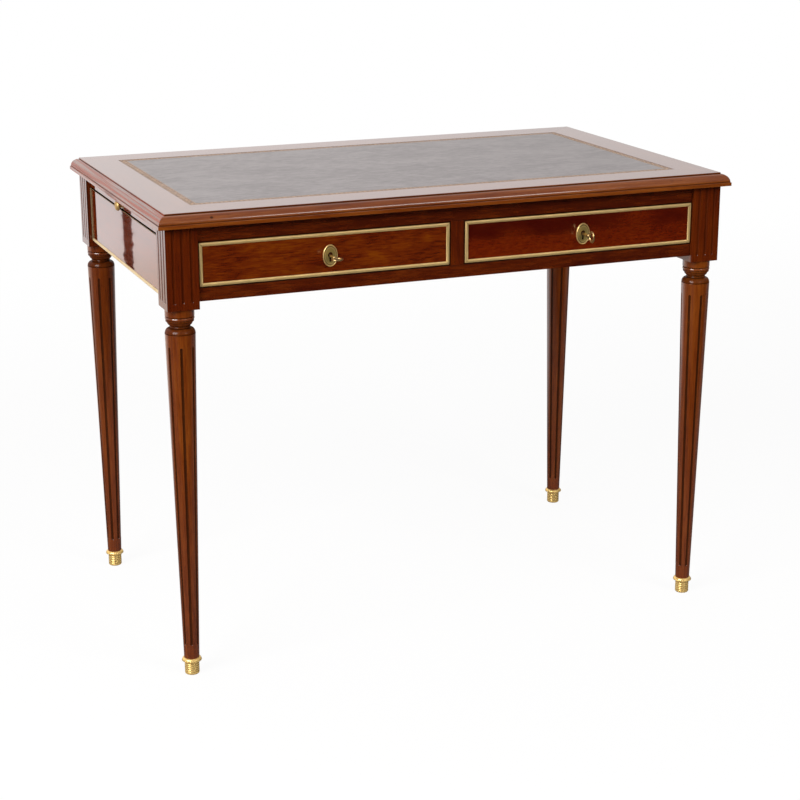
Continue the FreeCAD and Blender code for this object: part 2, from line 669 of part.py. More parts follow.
def knob():
    """Turned knob standing on Z = 0."""
    rim = KNOB_STEM_HEIGHT + KNOB_RISE
    crown = (KNOB_RADIUS, rim + KNOB_BAND)
    face = (KNOB_FACE_RADIUS, crown[1] + KNOB_CROWN)
    return turned(
        [(KNOB_FOOT_RADIUS, 0), (KNOB_FOOT_RADIUS, KNOB_FOOT_HEIGHT),
         (KNOB_STEM_RADIUS, KNOB_FOOT_HEIGHT + LATHE_STEP), (KNOB_STEM_RADIUS, KNOB_STEM_HEIGHT),
         (KNOB_RADIUS, rim), crown]
        + curve(crown, face, -KNOB_CROWN_SWELL))


def laid_sideways(shape, side):
    """Points a piece that stands on Z out of a slide's edge, at the edge's middle."""
    sign = SIGNS[side]
    shape.rotate(CENTRE, Y_AXIS, QUARTER_TURN * sign)
    shape.translate(FreeCAD.Vector(sign * SIDE_OUT_X, 0, SLIDE_BOTTOM + SLIDE_THICKNESS / 2))
    return shape


def make_writing_slide(side):
    sign = SIGNS[side]
    board = box(sign * SIDE_OUT_X, sign * (BEARER_WIDTH / 2 + SLIDE_INNER_GAP),
                -SLIDE_WIDTH / 2, SLIDE_WIDTH / 2, SLIDE_BOTTOM, SLIDE_BOTTOM + SLIDE_THICKNESS)
    stop_height = KICKER_THICKNESS - SLIDE_STOP_CLEARANCE
    stop = box(sign * SLIDE_STOP_X, sign * (SLIDE_STOP_X + SLIDE_STOP_WIDTH), -SLIDE_STOP_LENGTH / 2,
               SLIDE_STOP_LENGTH / 2, SLIDE_BOTTOM - stop_height, SLIDE_BOTTOM)
    PARTS[side + "_writing_slide"] = group([board, stop])
    PARTS[side + "_slide_knob"] = laid_sideways(knob(), side)


# Drawers

def dovetails(x0, x1):
    """The tails at the front end of a drawer side, wider at their tips."""
    pitch = (SIDE_TOP - SIDE_BOTTOM) / DOVETAILS
    root = pitch * DOVETAIL_ROOT_SHARE / 2
    tip = root + DOVETAIL_LENGTH * DOVETAIL_SLOPE_SHARE
    y_root = -RAIL_IN_Y
    y_tip = y_root - DOVETAIL_LENGTH
    tails = []
    for number in range(DOVETAILS):
        z = SIDE_BOTTOM + (number + 1 / 2) * pitch
        tails.append(prism_yz([(y_root, z - root), (y_root, z + root), (y_tip, z + tip),
                               (y_tip, z - tip)], x0, x1))
    return tails


def drawer_bottom(x0, x1):
    low = SIDE_BOTTOM + DRAWER_BOTTOM_RISE
    wood = DRAWER_SIDE_THICKNESS - DRAWER_GROOVE
    return box(x0 + wood, x1 - wood, -RAIL_IN_Y - DRAWER_GROOVE, DRAWER_BACK_Y,
               low, low + DRAWER_BOTTOM_THICKNESS)


def lock_space(side):
    """The room that a lock takes in the back of its drawer front, down to just below the turning bit."""
    x = LOCK_X[side]
    bottom = KEY_Z - KEY_BIT_REACH - LOCK_PLAY - LOCK_WALL
    return box(x - LOCK_WIDTH / 2, x + LOCK_WIDTH / 2, LOCK_FRONT_Y, LOCK_BACK_Y, bottom, FRONT_TOP)


def keyhole(side, y0, y1, radius):
    """Round hole with a slot below it for the bit, along Y."""
    x = LOCK_X[side]
    half = KEY_BIT_THICKNESS / 2 + KEYHOLE_SLOT_PLAY
    slot = box(x - half, x + half, y0, y1, KEY_Z - KEY_BIT_REACH - KEYHOLE_SLOT_PLAY, KEY_Z)
    return slot.fuse(rod(radius, y1 - y0, FreeCAD.Vector(x, y0, KEY_Z), Y_AXIS))


def make_drawer(side):
    sign = SIGNS[side]
    x0 = min(sign * DRAWER_NEAR_X, sign * DRAWER_FAR_X)
    x1 = max(sign * DRAWER_NEAR_X, sign * DRAWER_FAR_X)
    bottom = drawer_bottom(x0, x1)
    boards = []
    sockets = []
    for start in (x0, x1 - DRAWER_SIDE_THICKNESS):
        end = start + DRAWER_SIDE_THICKNESS
        tails = dovetails(start, end)
        plank = box(start, end, -RAIL_IN_Y, DRAWER_BACK_Y, SIDE_BOTTOM, SIDE_TOP)
        boards.append(cut_away(joined([plank] + tails), [bottom]))
        sockets += tails
    front = box(x0, x1, -RAIL_OUT_Y, -RAIL_IN_Y, FRONT_BOTTOM, FRONT_TOP)
    hole = keyhole(side, -RAIL_OUT_Y - OVERRUN, LOCK_FRONT_Y, KEY_STEM_RADIUS + LOCK_PLAY)
    PARTS[side + "_drawer_front"] = cut_away(front, sockets + [bottom, lock_space(side), hole])
    PARTS[side + "_drawer_sides"] = group(boards)
    PARTS[side + "_drawer_bottom"] = bottom
    PARTS[side + "_drawer_back"] = box(
        x0 + DRAWER_SIDE_THICKNESS, x1 - DRAWER_SIDE_THICKNESS, DRAWER_BACK_Y - DRAWER_BACK_THICKNESS,
        DRAWER_BACK_Y, bottom.BoundBox.ZMax, SIDE_TOP - DRAWER_BACK_DROP)
    PARTS[side + "_drawer_brass_frame"] = stood_up(
        brass_frame(x1 - x0, FRONT_TOP - FRONT_BOTTOM), 0, x0, -RAIL_OUT_Y, FRONT_BOTTOM)


# Locks and keys

def bolt_depths():
    """Front and back of the bolt plate, just clear of the lock's back wall."""
    back = LOCK_BACK_Y - LOCK_WALL - LOCK_PLAY
    return back - BOLT_THICKNESS, back


def make_lock(side):
    x = LOCK_X[side]
    y0, y1 = bolt_depths()
    case = lock_space(side)
    room = case.BoundBox
    hollow = box(room.XMin + LOCK_WALL, room.XMax - LOCK_WALL, room.YMin + LOCK_WALL,
                 room.YMax - LOCK_WALL, room.ZMin + LOCK_WALL, room.ZMax - LOCK_WALL)
    half = BOLT_WIDTH / 2
    slot = box(x - half - LOCK_PLAY, x + half + LOCK_PLAY, y0 - LOCK_PLAY, y1 + LOCK_PLAY,
               room.ZMax - LOCK_WALL - OVERRUN, room.ZMax + OVERRUN)
    hole = keyhole(side, LOCK_FRONT_Y - OVERRUN, LOCK_FRONT_Y + LOCK_WALL, KEY_STEM_RADIUS + LOCK_PLAY)
    PARTS[side + "_lock_case"] = cut_away(case, [hollow, slot, hole])
    foot = KEY_Z + KEY_BIT_REACH + LOCK_PLAY
    plate = box(x - half, x + half, y0, y1, foot, FRONT_TOP - BOLT_SINK)
    lug = box(x - BOLT_LUG_WIDTH / 2, x + BOLT_LUG_WIDTH / 2, y0 - BOLT_LUG_REACH, y0,
              foot, foot + BOLT_LUG_HEIGHT)
    PARTS[side + "_lock_bolt"] = joined([plate, lug])


def key_bow():
    """Oval ring in the XY plane, its near end at Y = 0."""
    ring = oval_block(KEY_BOW_WIDTH, KEY_BOW_LENGTH, -KEY_BOW_WIRE / 2, KEY_BOW_WIRE / 2)
    hole = oval_block(KEY_BOW_WIDTH - 2 * KEY_BOW_WIRE, KEY_BOW_LENGTH - 2 * KEY_BOW_WIRE,
                      -KEY_BOW_WIRE, KEY_BOW_WIRE)
    ring = ring.cut(hole)
    ring.translate(Y_AXIS * (-KEY_BOW_LENGTH / 2))
    return ring


def make_key(side):
    """Key along Y. It is made with its bow flat and its bit towards -X, then turned about its stem."""
    y0, _ = bolt_depths()
    bit_back = y0 - LOCK_PLAY
    tip = LOCK_BACK_Y - LOCK_WALL - LOCK_PLAY
    neck = -RAIL_OUT_Y - KEY_STAND_OUT
    stem = rod(KEY_STEM_RADIUS, tip - neck, FreeCAD.Vector(0, neck, 0), Y_AXIS)
    bit = box(-KEY_BIT_REACH, 0, bit_back - KEY_BIT_LENGTH, bit_back, -KEY_BIT_THICKNESS / 2,
              KEY_BIT_THICKNESS / 2)
    bow = key_bow()
    bow.translate(FreeCAD.Vector(0, neck + KEY_BOW_WIRE / 2, 0))
    collar = rod(KEY_COLLAR_RADIUS, KEY_COLLAR_LENGTH, FreeCAD.Vector(0, neck, 0), Y_AXIS)
    key = joined([stem, collar, bit, bow])
    key.rotate(CENTRE, Y_AXIS, KEY_TURNS[side] - QUARTER_TURN)
    key.translate(FreeCAD.Vector(LOCK_X[side], 0, KEY_Z))
    PARTS[side + "_key"] = key


def make_escutcheon(side):
    """Oval plate with a raised rim round the keyhole."""
    high = ESCUTCHEON_THICKNESS + ESCUTCHEON_RIM_RISE
    plate = oval_block(ESCUTCHEON_WIDTH, ESCUTCHEON_HEIGHT, 0, high)
    inner = oval_block(ESCUTCHEON_WIDTH - 2 * ESCUTCHEON_RIM, ESCUTCHEON_HEIGHT - 2 * ESCUTCHEON_RIM,
                       ESCUTCHEON_THICKNESS, high + OVERRUN)
    plate = stood_up(plate.cut(inner), 0, LOCK_X[side], -RAIL_OUT_Y, KEY_Z)
    hole = keyhole(side, -RAIL_OUT_Y - OVERRUN, -RAIL_OUT_Y, ESCUTCHEON_HOLE_RADIUS)
    PARTS[side + "_escutcheon"] = plate.cut(hole)


# Whole desk

def make_desk():
    make_top()
    make_top_fixings()
    make_legs(make_carcase())
    make_apron_brass()
    make_runners()
    make_drawer_stops()
    make_slide_guides()
    for side in ("left", "right"):
        make_writing_slide(side)
        make_drawer(side)
        make_lock(side)
        make_key(side)
        make_escutcheon(side)


def export_parts():
    os.makedirs("parts", exist_ok=True)
    for name, shape in PARTS.items():
        if not shape.isValid():
            print("not a valid shape:", name)
        shape.exportStep(os.path.join("parts", name + ".step"))
    print(len(PARTS), "parts")


make_desk()
export_parts()
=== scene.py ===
import logging
import math
from collections.abc import Callable, Iterable, Sequence
from dataclasses import dataclass
from enum import Enum

import bpy
from mathutils import Matrix, Vector


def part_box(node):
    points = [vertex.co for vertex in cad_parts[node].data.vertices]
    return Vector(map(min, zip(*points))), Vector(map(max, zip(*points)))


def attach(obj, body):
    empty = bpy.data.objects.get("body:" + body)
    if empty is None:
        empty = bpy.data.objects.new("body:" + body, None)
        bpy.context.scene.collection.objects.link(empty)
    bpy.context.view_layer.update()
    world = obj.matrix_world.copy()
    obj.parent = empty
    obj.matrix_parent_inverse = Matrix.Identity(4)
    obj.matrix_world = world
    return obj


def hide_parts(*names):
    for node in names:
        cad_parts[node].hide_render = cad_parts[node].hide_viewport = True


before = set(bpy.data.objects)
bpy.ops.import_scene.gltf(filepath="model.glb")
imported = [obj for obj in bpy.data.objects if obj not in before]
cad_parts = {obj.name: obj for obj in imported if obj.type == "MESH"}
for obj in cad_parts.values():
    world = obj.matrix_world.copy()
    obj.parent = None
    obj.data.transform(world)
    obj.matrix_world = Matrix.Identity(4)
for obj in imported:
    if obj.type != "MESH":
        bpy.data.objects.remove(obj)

LOG = logging.getLogger("writing_desk")

# Lengths are in metres, as in the frame, and written as millimetres times this
MM = 0.001
CLOSE = 0.001 * MM
FULL_TURN = 2 * math.pi
QUARTER_TURN = math.pi / 2
EASE_ANGLE = math.radians(35)
SHARP_ANGLE = math.radians(32)
WHITE = (1.0, 1.0, 1.0)

Colour = tuple[float, float, float]
Point = tuple[float, float]
Span = tuple[float, float]
Piece = bpy.types.Object


class Named(Enum):
    """Options whose names are part of the names of nodes."""

    @property
    def word(self) -> str:
        """The option's name in the names of nodes."""
        return self.name.lower()


class Side(Named):
    """A side of the desk as the sitter sees it, with its sign along X."""

    LEFT = -1
    RIGHT = 1


class Corner(Named):
    """A corner of the desk, with its signs along X and Y."""

    FRONT_LEFT = (-1, -1)
    FRONT_RIGHT = (1, -1)
    BACK_RIGHT = (1, 1)
    BACK_LEFT = (-1, 1)


class Pick(Enum):
    """What a selection in edit mode is made of."""

    VERTS = "VERT"
    FACES = "FACE"


class Blend(Enum):
    """What is done to a piece with the shape of another."""

    CUT = "DIFFERENCE"
    FUSE = "UNION"


class Grain(Enum):
    """The way that the fibres of a board run, as the number of its axis."""

    ALONG_X = 0
    ALONG_Y = 1
    ALONG_Z = 2

    def squeezed(self, share: float) -> Colour:
        """Scales that draw a pattern out along the fibres.

        Args:
            share: scale along the fibres, where the scale across them is 1.

        Returns:
            The scales along X, Y and Z.
        """
        scales = [1.0, 1.0, 1.0]
        scales[self.value] = share
        return tuple(scales)


class Recess(Enum):
    """Where a piece is darkened with painted shade, and its gloss dulled: in hollows, in gaps and along edges
    beside other parts; the border's mask also holds a plug and a knock.
    """

    NONE = "nowhere"
    LEG_TAPER = "flutes, rings and grooves of a round leg"
    LEG_BLOCK = "flutes of a square block"
    BORDER = "inner corners, a plugged hole and a knock in the top's moulding"
    RAIL = "edges of a rail at the drawers"
    DRAWER_FRONT = "edges of a drawer front, and round its keyhole"
    DIVIDER = "edges of the piece between the drawers"
    SLIDE_LINE = "edges where a writing slide meets the side"


# Sizes that more than one class works with

@dataclass(frozen=True)
class LegProfile:
    """Sizes of a leg, from the block down to the foot, and its place."""

    outer_x: float = 487.0 * MM
    outer_y: float = 287.0 * MM
    block_side: float = 52.0 * MM
    block_bottom: float = 617.5 * MM
    block_top: float = 748.0 * MM
    collar_radius: float = 23.2 * MM
    collar_height: float = 12.3 * MM
    groove_depth: float = 1.2 * MM
    groove_height: float = 1.2 * MM
    bead_radius: float = 22.3 * MM
    bead_height: float = 4.4 * MM
    bead_swell: float = 0.9 * MM
    band_radius: float = 22.2 * MM
    band_height: float = 3.2 * MM
    ogee_radius: float = 20.4 * MM
    ogee_height: float = 7.0 * MM
    ogee_swell: float = 1.2 * MM
    neck_radius: float = 15.4 * MM
    neck_height: float = 3.2 * MM
    neck_swell: float = 0.9 * MM
    shoulder_radius: float = 23.9 * MM
    shoulder_height: float = 7.8 * MM
    shoulder_swell: float = 2.4 * MM
    taper_top_radius: float = 24.2 * MM
    taper_foot_radius: float = 12.5 * MM
    sabot_height: float = 29.0 * MM
    arris: float = 0.4 * MM
    flutes: int = 7
    flute_radius: float = 2.7 * MM
    flute_depth: float = 1.7 * MM
    flute_top_stop: float = 22.0 * MM
    flute_foot_stop: float = 26.0 * MM
    flute_tip: float = 2.6 * MM
    block_flutes: int = 3
    block_flute_pitch: float = 14.4 * MM
    block_flute_radius: float = 2.4 * MM
    block_flute_depth: float = 1.6 * MM
    block_flute_stop: float = 13.0 * MM
    steps: int = 84

    @property
    def axis_x(self) -> float:
        """Distance of a leg's axis from the middle, along X."""
        return self.outer_x - self.block_side / 2

    @property
    def axis_y(self) -> float:
        """Distance of a leg's axis from the middle, along Y."""
        return self.outer_y - self.block_side / 2

    @property
    def inner_x(self) -> float:
        """Distance of a block's inner face from the middle, along X."""
        return self.outer_x - self.block_side

    @property
    def collar_end(self) -> float:
        """Height of the collar's lower edge."""
        return self.block_bottom - self.collar_height

    @property
    def bead_start(self) -> float:
        """Height of the bead's upper edge."""
        return self.collar_end - self.groove_height

    @property
    def bead_end(self) -> float:
        """Height of the bead's lower edge."""
        return self.bead_start - self.bead_height

    @property
    def band_end(self) -> float:
        """Height of the band's lower edge."""
        return self.bead_end - self.band_height

    @property
    def neck_start(self) -> float:
        """Height of the neck ring's upper edge."""
        return self.band_end - self.ogee_height

    @property
    def neck_end(self) -> float:
        """Height of the neck ring's lower edge."""
        return self.neck_start - self.neck_height

    @property
    def shoulder_end(self) -> float:
        """Height of the shoulder's lower edge."""
        return self.neck_end - self.shoulder_height

    @property
    def taper_top(self) -> float:
        """Height at which the taper begins."""
        return self.shoulder_end - self.groove_height

    def place(self, corner: Corner) -> Matrix:
        """The move from the origin to a corner's leg."""
        x, y = corner.value
        return moved_by(x * self.axis_x, y * self.axis_y, 0)


@dataclass(frozen=True)
class BorderProfile:
    """Sizes of the moulded boards round the leather."""

    length: float = 1000.0 * MM
    depth: float = 600.0 * MM
    underside: float = 748.0 * MM
    thickness: float = 22.0 * MM
    width: float = 71.0 * MM
    reach: float = 14.0 * MM
    step: float = 2.4 * MM
    ledge: float = 1.4 * MM
    quirk: float = 1.5 * MM
    quirk_height: float = 1.5 * MM
    fillet: float = 6.0 * MM
    fillet_round: float = 0.8 * MM
    arris: float = 0.5 * MM
    swell: float = 2.7 * MM
    joint: float = 0.06 * MM
    plug: Point = (-415.0 * MM, 761.8 * MM)
    plug_reach: Point = (5.0 * MM, 3.0 * MM)
    knock: Point = (-148.0 * MM, 755.5 * MM)
    knock_reach: Point = (3.0 * MM, 4.5 * MM)


@dataclass(frozen=True)
class SabotProfile:
    """Sizes of a brass foot cup."""

    foot_radius: float = 9.6 * MM
    base_radius: float = 11.7 * MM
    base_height: float = 5.2 * MM
    base_ease: float = 1.6 * MM
    waist_radius: float = 11.3 * MM
    waist_top: float = 19.2 * MM
    flare_radius: float = 15.9 * MM
    flare_height: float = 5.0 * MM
    flare_hollow: float = 0.9 * MM
    lip_radius: float = 12.9 * MM
    lip_swell: float = 1.0 * MM
    reeds: int = 4
    reed_swell: float = 0.75 * MM
    beads: int = 22
    bead_radius: float = 1.35 * MM


LEG = LegProfile()
BORDER = BorderProfile()
SABOT = SabotProfile()


# Modelling tools

class Bench:
    """Modelling steps that many pieces use, each made with Blender's own operators."""

    @staticmethod
    def clear() -> None:
        """Goes back to object mode with nothing selected."""
        active = bpy.context.view_layer.objects.active
        if active is not None and active.mode != "OBJECT":
            bpy.ops.object.mode_set(mode="OBJECT")
        bpy.ops.object.select_all(action="DESELECT")

    @staticmethod
    def take(piece: Piece) -> None:
        """Selects one piece and nothing else."""
        Bench.clear()
        piece.select_set(True)
        bpy.context.view_layer.objects.active = piece

    @staticmethod
    def open(piece: Piece, kind: Pick = Pick.VERTS) -> None:
        """Opens one piece in edit mode with all of its corners or faces selected."""
        Bench.take(piece)
        bpy.ops.object.mode_set(mode="EDIT")
        bpy.ops.mesh.select_mode(type=kind.value)
        bpy.ops.mesh.select_all(action="SELECT")

    @staticmethod
    def close() -> None:
        """Leaves edit mode."""
        bpy.ops.object.mode_set(mode="OBJECT")

    @staticmethod
    def name(piece: Piece, name: str) -> Piece:
        """Names a piece and its mesh."""
        piece.name = name
        piece.data.name = name
        return piece

    @staticmethod
    def added(name: str) -> Piece:
        """Names the piece that was added last."""
        return Bench.name(bpy.context.view_layer.objects.active, name)

    @staticmethod
    def discard(*pieces: Piece) -> None:
        """Throws pieces away, with their meshes."""
        for piece in pieces:
            bpy.data.meshes.remove(piece.data)

    @staticmethod
    def settle(piece: Piece) -> Piece:
        """Puts a piece's place, turn and scale into its mesh."""
        Bench.take(piece)
        bpy.ops.object.transform_apply(location=True, rotation=True, scale=True)
        return piece

    @staticmethod
    def put(piece: Piece, matrix: Matrix) -> Piece:
        """Moves or turns a piece and puts that into its mesh."""
        piece.matrix_world = matrix @ piece.matrix_world
        return Bench.settle(piece)

    @staticmethod
    def mend(piece: Piece) -> Piece:
        """Joins corners that lie on one another and turns every face outwards."""
        Bench.open(piece)
        bpy.ops.mesh.remove_doubles(threshold=CLOSE)
        bpy.ops.mesh.select_all(action="SELECT")
        bpy.ops.mesh.normals_make_consistent(inside=False)
        Bench.close()
        return piece

    @staticmethod
    def block(name: str, low: Sequence[float], high: Sequence[float]) -> Piece:
        """Adds a block between two corners, ready to be shaped.

        Args:
            name: name of the piece.
            low: lowest corner.
            high: highest corner.

        Returns:
            The piece.
        """
        Bench.clear()
        middle = [(a + b) / 2 for a, b in zip(low, high)]
        bpy.ops.mesh.primitive_cube_add(size=1, location=middle)
        piece = Bench.added(name)
        piece.scale = [b - a for a, b in zip(low, high)]
        return Bench.settle(piece)

    @staticmethod
    def sheet(name: str, length: float, depth: float, middle: Sequence[float] = (0, 0, 0)) -> Piece:
        """Adds a flat rectangle in the XY plane.

        Args:
            name: name of the piece.
            length: length along X.
            depth: length along Y.
            middle: place of its middle.

        Returns:
            The piece.
        """
        Bench.clear()
        bpy.ops.mesh.primitive_plane_add(size=1, location=middle)
        piece = Bench.added(name)
        piece.scale = (length, depth, 1)
        return Bench.settle(piece)

    @staticmethod
    def outline(name: str, points: Iterable[Sequence[float]]) -> Piece:
        """Draws a chain of edges, from one corner that is extruded from point to point.

        Args:
            name: name of the piece.
            points: the places that the chain runs through.

        Returns:
            The piece.
        """
        places = [Vector(point) for point in points]
        Bench.clear()
        bpy.ops.mesh.primitive_plane_add(size=CLOSE, location=places[0])
        piece = Bench.added(name)
        Bench.open(piece)
        bpy.ops.mesh.merge(type="CENTER")
        for one, other in zip(places, places[1:]):
            bpy.ops.mesh.extrude_vertices_move(TRANSFORM_OT_translate={"value": other - one})
        Bench.close()
        return Bench.settle(piece)

    @staticmethod
    def lathe(name: str, points: Iterable[Point], steps: int) -> Piece:
        """Turns an outline about the upright axis.

        Args:
            name: name of the piece.
            points: radius and height of each point, from one end to the other.
            steps: number of steps round the axis.

        Returns:
            The piece.
        """
        piece = Bench.outline(name, [(radius, 0, height) for radius, height in points])
        Bench.open(piece)
        bpy.ops.mesh.spin(steps=steps, angle=FULL_TURN, center=(0, 0, 0), axis=(0, 0, 1))
        Bench.close()
        return Bench.mend(piece)

    @staticmethod
    def copy(piece: Piece, name: str, matrix: Matrix) -> Piece:
        """Copies a piece, with a mesh of its own, and moves or turns the copy."""
        twin = piece.copy()
        twin.data = piece.data.copy()
        bpy.context.scene.collection.objects.link(twin)
        Bench.name(twin, name)
        return Bench.put(twin, matrix)

    @staticmethod
    def join(name: str, pieces: Sequence[Piece]) -> Piece:
        """Makes several pieces into one."""
        Bench.clear()
        for piece in pieces:
            piece.select_set(True)
        bpy.context.view_layer.objects.active = pieces[0]
        bpy.ops.object.join()
        return Bench.name(pieces[0], name)

    @staticmethod
    def alter(piece: Piece, kind: str, **settings: object) -> Piece:
        """Runs one modifier on a piece.

        Args:
            piece: the piece.
            kind: type of the modifier.
            settings: its settings.

        Returns:
            The piece.
        """
        modifier = piece.modifiers.new(kind.lower(), kind)
        for key, setting in settings.items():
            setattr(modifier, key, setting)
        Bench.take(piece)
        bpy.ops.object.modifier_apply(modifier=modifier.name)
        return piece

    @staticmethod
    def carve(piece: Piece, other: Piece, blend: Blend = Blend.CUT) -> Piece:
        """Cuts another piece's shape out of a piece, or adds it, and throws that other piece away."""
        Bench.alter(piece, "BOOLEAN", operation=blend.value, solver="EXACT", object=other)
        Bench.discard(other)
        return piece

    @staticmethod
    def ease(piece: Piece, width: float) -> Piece:
        """Rounds the sharp edges of a piece to a given width."""
        return Bench.alter(
            piece, "BEVEL", width=width, segments=2, limit_method="ANGLE", angle_limit=EASE_ANGLE,
            use_clamp_overlap=True)

    @staticmethod
    def smooth(piece: Piece, flats: bool) -> Piece:
        """Shades a piece smooth, save at its sharp edges.

        Args:
            piece: the piece.
            flats: whether it has large flat faces, which are then kept flat.

        Returns:
            The piece.
        """
        Bench.take(piece)
        bpy.ops.object.shade_smooth_by_angle(angle=SHARP_ANGLE)
        return Bench.alter(piece, "WEIGHTED_NORMAL", keep_sharp=True) if flats else piece


def bow(start: Point, end: Point, swell: float, parts: int = 10) -> list[Point]:
    """Points on a curve that swells to one side.

    Args:
        start: where it starts, which isn't among the points.
        end: where it ends.
        swell: how far its middle lies off the straight line.
        parts: number of points.

    Returns:
        The points.
    """
    run = (end[0] - start[0], end[1] - start[1])
    length = math.hypot(*run)
    points = []
    for number in range(1, parts + 1):
        t = number / parts
        off = 4 * swell * t * (1 - t) / length
        points.append((start[0] + run[0] * t - run[1] * off, start[1] + run[1] * t + run[0] * off))
    return points


def round_tip(radius: float, reach: float, height: float, up: bool, parts: int = 5) -> list[Point]:
    """Outline of a rounded end on the axis.

    Args:
        radius: radius of the rod that it ends.
        reach: how far it stands out.
        height: height of the end of the rod.
        up: whether it is the upper end.
        parts: number of points.

    Returns:
        Its points, from the lower to the upper.
    """
    angles = [QUARTER_TURN * number / parts for number in range(parts + 1)]
    sign = 1 if up else -1
    points = [(radius * math.cos(angle), height + sign * reach * math.sin(angle)) for angle in angles]
    points[-1] = (0, height + sign * reach)
    return points if up else points[::-1]


def turned_by(angle: float, axis: str = "Z") -> Matrix:
    """A turn about an axis through the origin."""
    return Matrix.Rotation(angle, 4, axis)


def moved_by(x: float, y: float, z: float) -> Matrix:
    """A move."""
    return Matrix.Translation((x, y, z))


# Shader tools

def math_operator(operation: str, swapped: bool = False) -> Callable[["Value", "Value | float"], "Value"]:
    """Makes an operator of Value out of an operation of the Math node.

    Args:
        operation: the operation.
        swapped: whether the socket is the second term.

    Returns:
        The operator.
    """
    def work(self: "Value", other: "Value | float") -> "Value":
        """Adds the node."""
        terms = (other, self) if swapped else (self, other)
        return self.shader.math(operation, *terms)

    return work


@dataclass(frozen=True)
class Value:
    """A socket of a shader, which the usual operators work on."""

    shader: "Shader"
    socket: bpy.types.NodeSocket | None

    __add__ = math_operator("ADD")
    __radd__ = math_operator("ADD", swapped=True)
    __sub__ = math_operator("SUBTRACT")
    __rsub__ = math_operator("SUBTRACT", swapped=True)
    __mul__ = math_operator("MULTIPLY")
    __rmul__ = math_operator("MULTIPLY", swapped=True)
    __truediv__ = math_operator("DIVIDE")
    __mod__ = math_operator("FLOORED_MODULO")
    least = math_operator("MINIMUM")
    most = math_operator("MAXIMUM")

    def __abs__(self) -> "Value":
        """Size without its sign."""
        return self.shader.math("ABSOLUTE", self)

    def rise(self, low: float, high: float) -> "Value":
        """Goes smoothly from 0 at low to 1 at high."""
        inputs = {"Value": self, "From Min": low, "From Max": high}
        return self.shader.add("ShaderNodeMapRange", {"interpolation_type": "SMOOTHSTEP"}, inputs)

    def near(self, middle: float, reach: float) -> "Value":
        """1 at the middle, smoothly down to 0 at this reach on both sides."""
        return 1 - abs(self - middle).rise(0, reach)


